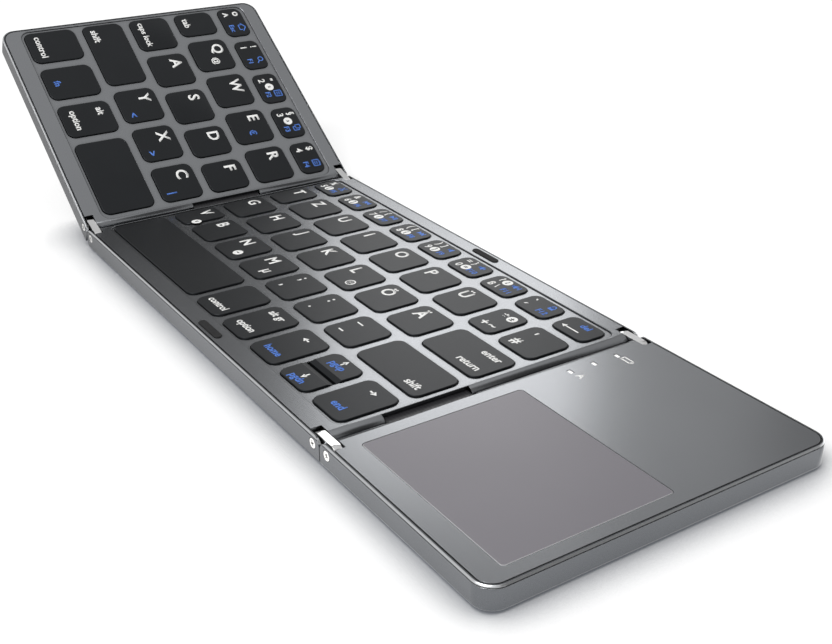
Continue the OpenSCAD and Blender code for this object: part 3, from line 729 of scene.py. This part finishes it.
# each node's keys from left to right, and what stands in which place on each. A name after * is a
# drawn sign, and what follows @ stands dark in a round white dot
legends = {
    "esc_key": [{"accent": "^", "accentAbove": "o", "sign": "*home", "function": "Esc"}],
    "number_keys_left": [
        {"digit": "1", "shifted": "!", "sign": "*search", "function": "F1"},
        {"digit": "2", "shifted": '"', "dot": "@²", "sign": "*select", "function": "F2"},
        {"digit": "3", "shifted": "§", "dot": "@³", "sign": "*copy", "function": "F3"},
        {"digit": "4", "shifted": "$", "sign": "*paste", "function": "F4"},
    ],
    "tab_key": [{"word": "tab"}],
    "top_letter_keys_left": [
        {"letter": "Q", "side": "@"},
        {"letter": "W"},
        {"letter": "E", "sideBlue": "€"},
        {"letter": "R"},
    ],
    "caps_lock_key": [{"longWord": "caps lock"}],
    "home_letter_keys_left": [{"letter": "A"}, {"letter": "S"}, {"letter": "D"}, {"letter": "F"}],
    "left_shift_key": [{"word": "shift"}],
    "bottom_letter_keys_left": [
        {"letter": "Y", "cornerBlue": "<"},
        {"letter": "X", "cornerBlue": ">"},
        {"letter": "C", "cornerBlue": "|"},
    ],
    "modifier_keys_left": [
        {"middleWord": "control"},
        {"middleWordBlue": "fn"},
        {"topWord": "alt", "middleWord": "option"},
    ],
    "number_keys_middle": [
        {"digit": "5", "shifted": "%", "lowDot": "@[", "sign": "*cut", "function": "F5"},
        {"digit": "6", "shifted": "&", "lowDot": "@]", "sign": "*previous", "function": "F6"},
        {"digit": "7", "shifted": "/", "third": "{", "lowDot": "@|", "sign": "*play", "function": "F7"},
        {"digit": "8", "shifted": "(", "third": "[", "lowDot": "@{", "sign": "*next", "function": "F8"},
        {"digit": "9", "shifted": ")", "third": "]", "lowDot": "@}", "sign": "*mute", "function": "F9"},
        {"digit": "0", "shifted": "=", "third": "}", "lowDot": "@=", "sign": "*quieter", "function": "F10"},
        {
            "digit": "ß",
            "shifted": "?",
            "highDot": "@¿",
            "lowSecond": "\\",
            "sign": "*louder",
            "function": "F11",
        },
        {"accent": "´", "accentAbove": "`", "sign": "*lock", "function": "F12"},
    ],
    "backspace_key": [{"nearSign": "del", "longArrow": "*longArrow"}],
    "top_letter_keys_middle": [
        {"letter": "T"},
        {"letter": "Z"},
        {"letter": "U"},
        {"letter": "I"},
        {"letter": "O"},
        {"letter": "P"},
        {"letter": "Ü"},
        {"upper": "*", "upperDot": "@±", "lower": "+", "lowerSecond": "~"},
        {"upper": "'", "lower": "#"},
    ],
    "home_letter_keys_middle": [
        {"letter": "G"},
        {"letter": "H"},
        {"letter": "J"},
        {"letter": "K"},
        {"letter": "L", "corner": "@@"},
        {"letter": "Ö"},
        {"letter": "Ä"},
    ],
    "enter_key": [{"endWordAbove": "enter", "endWord": "return"}],
    "bottom_letter_keys_middle": [
        {"letter": "V", "corner": "@v"},
        {"letter": "B"},
        {"letter": "N", "corner": "@~"},
        {"letter": "M", "cornerBig": "µ"},
        {"upper": ";", "lower": ","},
        {"upper": ":", "lower": "."},
        {"upper": "*underline", "lower": "*minus"},
    ],
    "right_shift_key": [{"endWord": "shift"}],
    "modifier_keys_middle": [{"middleWord": "control"}, {"topWord": "alt gr", "middleWord": "option"}],
    "arrow_left_key": [{"arrow": "*leftArrow", "middleWordBlue": "home"}],
    "arrow_right_key": [{"arrow": "*rightArrow", "middleWordBlue": "end"}],
    "arrow_up_key": [{"arrowUp": "*upArrow", "upWord": "pgup"}],
    "arrow_down_key": [{"arrowDown": "*downArrow", "downWord": "pgdn"}],
}

legendSettings = {
    "thickness": 0.02,
    "capital": 0.729,  # a capital's height as a share of the type size
    "weight": 0.036,  # how much a stroke is fattened, as a share of the capital
    "curveSteps": 3,
    "dotRadius": 1.65,
    "dotCorners": 24,
    "dotText": 1.8,
}


def island(start, links, seen):
    found, waiting = [], [start]
    seen.add(start)
    while waiting:
        here = waiting.pop()
        found.append(here)
        for other in links[here]:
            if other not in seen:
                seen.add(other)
                waiting.append(other)
    return found


def keyCorners(name, panel, digits=3):
    # each solid of the node in the panel's frame: left, front, right, top and back. Vertices that
    # agree to so many digits of a millimetre are one
    mesh = nodes[name].data
    toPanel = panels[panel].inverted()
    first = {}
    same = []
    for vertex in mesh.vertices:
        spot = tuple(round(c, digits) for c in toPanel @ vertex.co)
        same.append(first.setdefault(spot, len(first)))
    links = {i: set() for i in range(len(first))}
    for edge in mesh.edges:
        a, b = same[edge.vertices[0]], same[edge.vertices[1]]
        links[a].add(b)
        links[b].add(a)
    spots = list(first)
    seen, corners = set(), []
    for i in range(len(spots)):
        if i not in seen:
            xs, ys, zs = zip(*(spots[j] for j in island(i, links, seen)))
            corners.append((min(xs), min(ys), max(xs), max(zs), max(ys)))
    return sorted(corners)


def textPiece(words, capital, x, y, anchor="middle"):
    bpy.ops.object.text_add(location=(0, 0, 0))
    piece = bpy.context.object
    piece.data.body = words
    piece.data.size = capital / legendSettings["capital"]
    piece.data.resolution_u = legendSettings["curveSteps"]
    piece.data.offset = legendSettings["weight"] * capital
    selectOnly(piece)
    bpy.ops.object.convert(target="MESH")
    piece = bpy.context.object
    xs = [v.co.x for v in piece.data.vertices]
    ys = [v.co.y for v in piece.data.vertices]
    held = {"start": min(xs), "middle": (min(xs) + max(xs)) / 2, "end": max(xs)}[anchor]
    piece.data.transform(Matrix.Translation((x - held, y - (min(ys) + max(ys)) / 2, 0)))
    return piece


def flatBar(start, end, width):
    a, b = Vector(start), Vector(end)
    turn = math.atan2(b.y - a.y, b.x - a.x)
    bpy.ops.mesh.primitive_plane_add(size=1, location=(0, 0, 0))
    piece = bpy.context.object
    place = Matrix.Translation(((a.x + b.x) / 2, (a.y + b.y) / 2, 0)) @ Matrix.Rotation(turn, 4, "Z")
    piece.data.transform(place @ Matrix.Diagonal(((b - a).length, width, 1, 1)))
    return piece


def flatDisc(centre, radius, corners=20, turn=0.0):
    bpy.ops.mesh.primitive_circle_add(
        vertices=corners, radius=radius, fill_type="NGON", location=(0, 0, 0)
    )
    piece = bpy.context.object
    piece.data.transform(Matrix.Translation((*centre, 0)) @ Matrix.Rotation(turn, 4, "Z"))
    return piece


def flatRing(centre, radius, width, corners=20):
    piece = flatDisc((0, 0), radius, corners)
    selectOnly(piece)
    bpy.ops.object.mode_set(mode="EDIT")
    bpy.ops.mesh.select_all(action="SELECT")
    bpy.ops.mesh.inset(thickness=width, depth=0)
    bpy.ops.mesh.delete(type="FACE")
    bpy.ops.object.mode_set(mode="OBJECT")
    piece.data.transform(Matrix.Translation((*centre, 0)))
    return piece


def strokes(points, width):
    return [flatBar(a, b, width) for a, b in zip(points, points[1:])]


# which way a triangle points, as a turn from +Y
pointing = {"up": 0, "left": math.pi / 2, "down": math.pi, "right": -math.pi / 2}


def triangle(x, y, radius, way):
    return flatDisc((x, y), radius, 3, pointing[way])


def boxStrokes(width, height, line):
    x, y = width / 2, height / 2
    return strokes([(-x - line / 2, -y), (x, -y), (x, y), (-x, y), (-x, -y)], line)


# drawn signs around their own middle, in millimetres
signs = {
    "home": lambda: strokes([(-1.9, -0.1), (0, 1.4), (1.9, -0.1)], 0.36)
    + strokes([(-1.2, -0.1), (-1.2, -1.2), (1.2, -1.2), (1.2, -0.1)], 0.36),
    "search": lambda: [flatRing((-0.4, 0.4), 1.1, 0.34), flatBar((0.3, -0.35), (1.4, -1.3), 0.4)],
    "select": lambda: boxStrokes(2.6, 2.6, 0.34)
    + [flatBar((-0.7, 0.4), (0.7, 0.4), 0.32), flatBar((-0.7, -0.4), (0.7, -0.4), 0.32)],
    "copy": lambda: strokes([(-1.2, -0.4), (-1.2, 1.4), (0.4, 1.4), (0.4, -0.4), (-1.2, -0.4)], 0.32)
    + strokes([(0.4, 0.7), (1.2, 0.7), (1.2, -1.4), (-0.5, -1.4), (-0.5, -0.4)], 0.32),
    "paste": lambda: boxStrokes(2.6, 2.4, 0.34)
    + [flatBar((-0.5, 1.3), (0.5, 1.3), 0.6)]
    + [flatBar((-0.7, 0.3), (0.7, 0.3), 0.3), flatBar((-0.7, -0.5), (0.7, -0.5), 0.3)],
    "cut": lambda: [flatBar((-1.0, 1.4), (0.7, -0.7), 0.34), flatBar((1.0, 1.4), (-0.7, -0.7), 0.34)]
    + [flatRing((-0.9, -1.0), 0.55, 0.26, 12), flatRing((0.9, -1.0), 0.55, 0.26, 12)],
    "previous": lambda: [triangle(0.9, 0, 1.1, "left"), triangle(-0.6, 0, 1.1, "left")]
    + [flatBar((-1.5, -1), (-1.5, 1), 0.4)],
    "play": lambda: [triangle(-0.8, 0, 1.2, "right")]
    + [flatBar((0.7, -1), (0.7, 1), 0.45), flatBar((1.5, -1), (1.5, 1), 0.45)],
    "next": lambda: [triangle(-0.9, 0, 1.1, "right"), triangle(0.6, 0, 1.1, "right")]
    + [flatBar((1.5, -1), (1.5, 1), 0.4)],
    "mute": lambda: [flatBar((-1.1, 0), (-0.3, 0), 0.9), triangle(0.2, 0, 1.3, "left")],
    "quieter": lambda: [flatBar((-1.5, 0), (-0.7, 0), 0.9), triangle(-0.2, 0, 1.3, "left")]
    + [flatBar((1.0, -0.5), (1.0, 0.5), 0.36)],
    "louder": lambda: [flatBar((-1.7, 0), (-0.9, 0), 0.9), triangle(-0.4, 0, 1.3, "left")]
    + [flatBar((0.8, -0.5), (0.8, 0.5), 0.36), flatBar((1.5, -0.9), (1.5, 0.9), 0.36)],
    "lock": lambda: [flatBar((-1.0, -0.5), (1.0, -0.5), 1.5), flatRing((0, 0.5), 0.85, 0.36)],
    "longArrow": lambda: [flatBar((-2.4, 0), (3.2, 0), 0.45), triangle(-2.6, 0, 1.0, "left")],
    "leftArrow": lambda: [flatBar((-0.3, 0), (1.3, 0), 0.5), triangle(-0.5, 0, 1.05, "left")],
    "rightArrow": lambda: [flatBar((-1.3, 0), (0.3, 0), 0.5), triangle(0.5, 0, 1.05, "right")],
    "upArrow": lambda: [flatBar((0, -1.3), (0, 0.3), 0.5), triangle(0, 0.4, 1.0, "up")],
    "downArrow": lambda: [flatBar((0, 1.3), (0, -0.3), 0.5), triangle(0, -0.4, 1.0, "down")],
    "minus": lambda: [flatBar((-1.1, 0), (1.1, 0), 0.5)],
    "underline": lambda: [flatBar((-1.4, -0.9), (1.4, -0.9), 0.45)],
    "battery": lambda: boxStrokes(3.3, 1.3, 0.42) + [flatBar((1.7, 0), (2.2, 0), 0.8)],
}


def legendParts(words, ink, x, y, capital, anchor):
    # (ink, flat meshes, layer) of one legend
    if words.startswith("*") and len(words) > 1:
        parts = signs[words[1:]]()
        for part in parts:
            part.data.transform(Matrix.Translation((x, y, 0)))
        return [(ink, parts, 0)]
    if words.startswith("@") and len(words) > 1:
        dot = flatDisc((x, y), legendSettings["dotRadius"], legendSettings["dotCorners"])
        return [(ink, [dot], 0), ("dark", [textPiece(words[1:], legendSettings["dotText"], x, y)], 1)]
    return [(ink, [textPiece(words, capital, x, y, anchor)], 0)]


inks = {"white": whiteInk, "blue": blueInk, "dark": keyPlastic}


def printed(parts, name, panel, ink, body):
    # flat print with the ink's thickness, on the panel that carries it
    piece = joined(parts, name)
    solid = piece.modifiers.new("thickness", "SOLIDIFY")
    solid.thickness = legendSettings["thickness"]
    solid.offset = 1
    applyModifiers(piece)
    settle(piece, panel)
    dress(piece, ink, body)


def printLegends(name, keys):
    panel = panelOfKey(name)
    layers = {}
    for (left, near, right, top, far), places in zip(keyCorners(name, panel), keys):
        for place, words in places.items():
            ink, x, y, capital, anchor = legendPlaces[place]
            x = x if x > 0 else right - left + x
            for inkName, parts, layer in legendParts(words, ink, x, y, capital, anchor):
                height = top + layer * legendSettings["thickness"]
                for part in parts:
                    part.data.transform(Matrix.Translation((left, near, height)))
                layers.setdefault(inkName, []).extend(parts)
    for inkName, parts in layers.items():
        body = nodes[name]["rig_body"]
        printed(parts, f"legends_{inkName}_{name}", panel, inks[inkName], body)


for name, keys in legends.items():
    printLegends(name, keys)
print("legends printed:", len(legends), "key nodes")

# printed marks beside the light windows: x and y of their middle on the right panel, in millimetres
deckMarks = {"capsMark": ("A", 9.6, 69.4), "batteryMark": ("*battery", 9.6, 84.8)}
markSettings = {"capital": 2.2, "deckTop": 6.2}
markParts = []
for words, x, y in deckMarks.values():
    for ink, parts, layer in legendParts(words, "white", x, y, markSettings["capital"], "middle"):
        for part in parts:
            part.data.transform(Matrix.Translation((0, 0, markSettings["deckTop"])))
        markParts.extend(parts)
printed(markParts, "marks_white_right_deck", "right", whiteInk, "right_panel")
print("deck marks printed")

# what each key presses down: the domes and scissors of each node, gathered into one piece for each key over
# them.
# Each node gives the kind of piece, its finish and a slot name
squeezed = {
    "middle_rubber_domes": ("domes", domeSilicone, "silicone"),
    "left_rubber_domes": ("domes", domeSilicone, "silicone"),
    "middle_scissors": ("scissors", acetal, "white_plastic"),
    "left_scissors": ("scissors", acetal, "white_plastic"),
}
pressedKeys = [name.removesuffix("_press") for name in joints if name.endswith("_press")]


def looseParts(name):
    # a merged copy of the node's mesh, each of its solids on its own
    copy = bpy.data.objects.new("copy_" + name, nodes[name].data.copy())
    bpy.context.scene.collection.objects.link(copy)
    selectOnly(copy)
    bpy.ops.object.mode_set(mode="EDIT")
    bpy.ops.mesh.select_all(action="SELECT")
    bpy.ops.mesh.remove_doubles(threshold=breakSettings["weldMm"] * mm)
    bpy.ops.mesh.separate(type="LOOSE")
    bpy.ops.object.mode_set(mode="OBJECT")
    return list(bpy.context.selected_objects)


def outside(corners, x, y):
    # how far a spot lies outside a key's plan, which reaches from its left front to its right back
    # corner
    left, near, right, top, far = corners
    return max(left - x, x - right, 0) + max(near - y, y - far, 0)


def squeezeUnderKeys(name, kind, material):
    panel = "left" if name.startswith("left") else "middle"
    toPanel = panels[panel].inverted()
    keys = []
    for key in pressedKeys:
        if panelOfKey(key) == panel:
            keys.extend((key, corners) for corners in keyCorners(key, panel))
    groups = {}
    for part in looseParts(name):
        xs, ys, zs = zip(*(toPanel @ v.co for v in part.data.vertices))
        x, y = (min(xs) + max(xs)) / 2, (min(ys) + max(ys)) / 2
        key = min(keys, key=lambda item: outside(item[1], x, y))[0]
        groups.setdefault(key, []).append((part, max(zs)))
    for key, parts in groups.items():
        piece = joined([part for part, top in parts], f"{kind}_of_{key}")
        dress(piece, material, nodes[name]["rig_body"])
        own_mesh(piece)
        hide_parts(name)


for name, (kind, material, slot) in squeezed.items():
    squeezeUnderKeys(name, kind, material)
print("domes and scissors made:", len(squeezed))

# flat cables, each in two halves that meet over the links. inside is how far in from the parting a cable
# turns down, low and level are the heights there, and it turns with the radius round. All are in
# millimetres
cableShape = {
    "width": 24.6,
    "thickness": 0.4,
    "inside": 3.05,
    "low": 1.7,
    "level": 4.7,
    "round": 0.6,
    "turnSteps": 4,
    "steps": 6,
}
# y is a cable's middle from the front; a half has its pin, side, tilt and body
cables = {
    "left_flat_cable": {
        "y": 50.0,
        "halves": [
            ("left_inner_hinge", 1, 0, "middle_panel"),
            ("left_outer_hinge", -1, leftTilt, "left_panel"),
        ],
        "links": "left_links",
    },
    "right_flat_cable": {
        "y": 30.6,
        "halves": [
            ("right_inner_hinge", -1, 0, "middle_panel"),
            ("right_outer_hinge", 1, 0, "right_panel"),
        ],
        "links": "right_links",
    },
}


def cableWay(shape, panel, side, y, middle):
    # up inside the panel, round under its deck and out to the middle of the channel
    inside, radius = shape["inside"], shape["round"]
    turnX, turnZ = inside - radius, shape["level"] - radius
    way = [(inside, shape["low"]), (inside, turnZ)]
    for k in range(1, shape["turnSteps"] + 1):
        a = k * math.pi / 2 / shape["turnSteps"]
        way.append((turnX + radius * math.cos(a), turnZ + radius * math.sin(a)))
    points = [panel @ Vector((side * d, y, z)) for d, z in way]
    return points + [points[-1].lerp(middle, k / shape["steps"]) for k in range(1, shape["steps"] + 1)]


def cableHalf(name, shape, way):
    # one edge as wide as the cable, extruded along its way, then given its thickness
    across = shape["width"] * mm
    deselectAll()
    bpy.ops.mesh.primitive_plane_add(size=across, location=(0, 0, 0))
    strip = bpy.context.object
    strip.name = strip.data.name = name
    bpy.ops.object.mode_set(mode="EDIT")
    bpy.ops.mesh.select_all(action="SELECT")
    bpy.ops.mesh.merge(type="COLLAPSE")
    bpy.ops.object.mode_set(mode="OBJECT")
    strip.data.transform(Matrix.Translation(way[0] - Vector((0, across / 2, 0))))
    bpy.ops.object.mode_set(mode="EDIT")
    bpy.ops.mesh.select_all(action="SELECT")
    bpy.ops.mesh.extrude_region_move(TRANSFORM_OT_translate={"value": (0, across, 0)})
    bpy.ops.mesh.select_all(action="SELECT")
    for start, end in zip(way, way[1:]):
        bpy.ops.mesh.extrude_region_move(TRANSFORM_OT_translate={"value": tuple(end - start)})
    bpy.ops.mesh.select_all(action="SELECT")
    bpy.ops.mesh.normals_make_consistent(inside=False)
    bpy.ops.object.mode_set(mode="OBJECT")
    solid = strip.modifiers.new("thickness", "SOLIDIFY")
    solid.thickness = shape["thickness"] * mm
    solid.offset = 0
    applyModifiers(strip)
    return strip


for name, cable in cables.items():
    frames = [
        (panelFrame(pinOf(hinge), side, tilt), side, body) for hinge, side, tilt, body in cable["halves"]
    ]
    outs = [panel @ Vector((0, cable["y"], cableShape["level"])) for panel, side, body in frames]
    middle = (outs[0] + outs[1]) / 2
    for panel, side, body in frames:
        way = cableWay(cableShape, panel, side, cable["y"], middle)
        half = dress(cableHalf(f"{name}_by_{body}", cableShape, way), ribbonFilm)
        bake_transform(half)
        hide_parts(name)
print("flat cables made:", len(cables))

# stage: a plain pale floor, white to the camera and to reflections, that keeps the shadow. Lengths
# are in metres
stageSettings = {
    "floorSize": 8.0,
    "floorColour": "#e6e6e6",
    "gloss": 0.22,
    "lift": 0.4,  # how much of the white shows beside the paint
    "mirrorSpan": (-0.15, 0.16),  # from left to right
    "mirrorLift": (-0.4, 0.9),  # dimmer to metal at the left, brighter at the right
    "fadeSpan": (0.35, 1.5),  # where the lamps fade and the backdrop white takes over
    "fadeLift": 0.6,
    "shadeReach": 0.016,  # how far the contact shade goes
    "shadeColour": "#7f8288",
    "shadeSpan": (0.45, 0.97),  # shares of open space at which that shade is full and gone
    "shadeSamples": 4,
}


def makeFloor(settings):
    bpy.ops.mesh.primitive_plane_add(size=settings["floorSize"], location=(0, 0, 0))
    floor = bpy.context.object
    floor.name = "floor"
    material = bpy.data.materials.new("paintedStudioFloor")
    material.use_nodes = True
    tree = material.node_tree
    tree.nodes.clear()
    place = addNode(tree, "ShaderNodeTexCoord")
    rays = addNode(tree, "ShaderNodeLightPath")
    seen = addNode(
        tree,
        "ShaderNodeMath",
        {0: (rays, "Is Camera Ray"), 1: (rays, "Is Glossy Ray")},
        operation="MAXIMUM",
    )
    shown = addNode(
        tree, "ShaderNodeMath", {0: (seen, 0), 1: (rays, "Is Transmission Ray")}, operation="MAXIMUM"
    )
    openness = addNode(
        tree,
        "ShaderNodeAmbientOcclusion",
        {"Distance": settings["shadeReach"]},
        samples=settings["shadeSamples"],
    )
    shade = addNode(
        tree,
        "ShaderNodeValToRGB",
        {"Fac": (openness, "AO")},
        list(zip(settings["shadeSpan"], (linear(settings["shadeColour"]), grey(1.0)))),
    )
    shaded = addNode(
        tree,
        "ShaderNodeMixRGB",
        {"Fac": 1.0, "Color1": linear(settings["floorColour"]), "Color2": (shade, "Color")},
        blend_type="MULTIPLY",
    )
    lift = addNode(tree, "ShaderNodeMath", {0: (shown, 0), 1: settings["lift"]}, operation="MULTIPLY")
    # what metal mirrors is the open floor, not the shade right beside it
    where = addNode(tree, "ShaderNodeSeparateXYZ", {"Vector": (place, "Object")})
    side = addNode(
        tree,
        "ShaderNodeMapRange",
        {
            "Value": (where, "X"),
            "From Min": settings["mirrorSpan"][0],
            "From Max": settings["mirrorSpan"][1],
            "To Min": settings["mirrorLift"][0],
            "To Max": settings["mirrorLift"][1],
        },
    )
    mirrored = addNode(
        tree, "ShaderNodeMath", {0: (rays, "Is Glossy Ray"), 1: (side, 0)}, operation="MULTIPLY"
    )
    tint = addNode(
        tree,
        "ShaderNodeMixRGB",
        {"Fac": (rays, "Is Glossy Ray"), "Color1": (shade, "Color"), "Color2": grey(1.0)},
    )
    # further out the backdrop white takes over
    distance = addNode(tree, "ShaderNodeVectorMath", {0: (place, "Object")}, operation="LENGTH")
    away = addNode(
        tree,
        "ShaderNodeMapRange",
        {
            "Value": (distance, "Value"),
            "From Min": settings["fadeSpan"][0],
            "From Max": settings["fadeSpan"][1],
            "To Max": settings["fadeLift"],
        },
    )
    faded = addNode(tree, "ShaderNodeMath", {0: (away, 0), 1: (shown, 0)}, operation="MULTIPLY")
    nearby = addNode(
        tree, "ShaderNodeMath", {0: (lift, 0), 1: (mirrored, 0)}, operation="ADD", use_clamp=True
    )
    strength = addNode(tree, "ShaderNodeMath", {0: (nearby, 0), 1: (faded, 0)}, operation="ADD")
    glow = addNode(tree, "ShaderNodeEmission", {"Color": (tint, "Color"), "Strength": (strength, 0)})
    paint = addNode(
        tree,
        "ShaderNodeBsdfPrincipled",
        {"Base Color": (shaded, "Color"), "Roughness": settings["gloss"]},
    )
    surface = addNode(tree, "ShaderNodeAddShader", {0: (paint, "BSDF"), 1: (glow, "Emission")})
    addNode(tree, "ShaderNodeOutputMaterial", {"Surface": (surface, "Shader")})
    floor.data.materials.append(material)


makeFloor(stageSettings)

# soft room light by height: an even room, a dimmer part where the softbox hangs, and a dark card to
# its right, which leaves a share of the light. From and to are cosines of the angle to where a part
# is
roomSteps = [(0.0, 1.0), (0.1, 0.85), (0.26, 0.55), (0.6, 0.55), (0.85, 0.62), (1.0, 0.7)]
dimSteps = [(0.0, 1.0), (0.1, 0.85), (0.24, 0.24), (0.46, 0.24), (0.6, 0.48), (0.7, 0.55), (1.0, 0.6)]
dimPart = {"towards": (-0.772, 0.446, 0.454), "from": 0.84, "to": 0.92}
darkCard = {"towards": (0.642, 0.417, 0.643), "from": 0.88, "to": 0.95, "left": 0.2}


def byHeight(tree, parts, steps):
    stops = [(height, grey(value)) for height, value in steps]
    return addNode(tree, "ShaderNodeValToRGB", {"Fac": (parts, "Z")}, stops)


def byDirection(tree, place, part, outer, inner):
    lean = addNode(
        tree, "ShaderNodeVectorMath", {0: (place, "Generated"), 1: part["towards"]}, operation="DOT_PRODUCT"
    )
    stops = [(part["from"], grey(outer)), (part["to"], grey(inner))]
    return addNode(tree, "ShaderNodeValToRGB", {"Fac": (lean, "Value")}, stops)


def makeSky():
    world = bpy.data.worlds.new("softRoom")
    bpy.context.scene.world = world
    world.use_nodes = True
    tree = world.node_tree
    tree.nodes.clear()
    place = addNode(tree, "ShaderNodeTexCoord")
    parts = addNode(tree, "ShaderNodeSeparateXYZ", {"Vector": (place, "Generated")})
    room = byHeight(tree, parts, roomSteps)
    dim = byHeight(tree, parts, dimSteps)
    dimHere = byDirection(tree, place, dimPart, 0.0, 1.0)
    mixed = addNode(
        tree,
        "ShaderNodeMixRGB",
        {"Fac": (dimHere, "Color"), "Color1": (room, "Color"), "Color2": (dim, "Color")},
    )
    card = byDirection(tree, place, darkCard, 1.0, darkCard["left"])
    lit = addNode(
        tree,
        "ShaderNodeMixRGB",
        {"Fac": 1.0, "Color1": (mixed, "Color"), "Color2": (card, "Color")},
        blend_type="MULTIPLY",
    )
    rays = addNode(tree, "ShaderNodeLightPath")
    seen = addNode(
        tree,
        "ShaderNodeMixRGB",
        {"Fac": (rays, "Is Camera Ray"), "Color1": (lit, "Color"), "Color2": grey(1.0)},
    )
    sky = addNode(tree, "ShaderNodeBackground", {"Color": (seen, "Color"), "Strength": 1.0})
    addNode(tree, "ShaderNodeOutputWorld", {"Surface": (sky, "Background")})


makeSky()

# lamps: azimuth and elevation in degrees from the keyboard's middle, distance and sizes in metres,
# and how bright the face is
lamps = {
    "backSoftbox": {
        "azimuth": 143.5,
        "elevation": 28,
        "distance": 1.3,
        "width": 0.36,
        "height": 0.36,
        "radiance": 2.4,
    },
    "sideGlow": {
        "azimuth": 129,
        "elevation": 29,
        "distance": 1.3,
        "width": 0.3,
        "height": 0.36,
        "radiance": 0.4,
    },
    "frontFill": {
        "azimuth": -75,
        "elevation": 55,
        "distance": 1.5,
        "width": 0.9,
        "height": 0.9,
        "radiance": 5.0,
    },
}


def addLamp(name, settings):
    around, above = math.radians(settings["azimuth"]), math.radians(settings["elevation"])
    level = math.cos(above)
    towards = Vector((math.cos(around) * level, math.sin(around) * level, math.sin(above)))
    data = bpy.data.lights.new(name, "AREA")
    data.shape = "RECTANGLE"
    data.size = settings["width"]
    data.size_y = settings["height"]
    data.energy = settings["radiance"] * math.pi * settings["width"] * settings["height"]
    lamp = bpy.data.objects.new(name, data)
    lamp.location = towards * settings["distance"]
    lamp.rotation_euler = towards.to_track_quat("Z", "Y").to_euler()
    lamp.visible_camera = False
    bpy.context.scene.collection.objects.link(lamp)


for name, settings in lamps.items():
    addLamp(name, settings)
print("stage and lamps set")
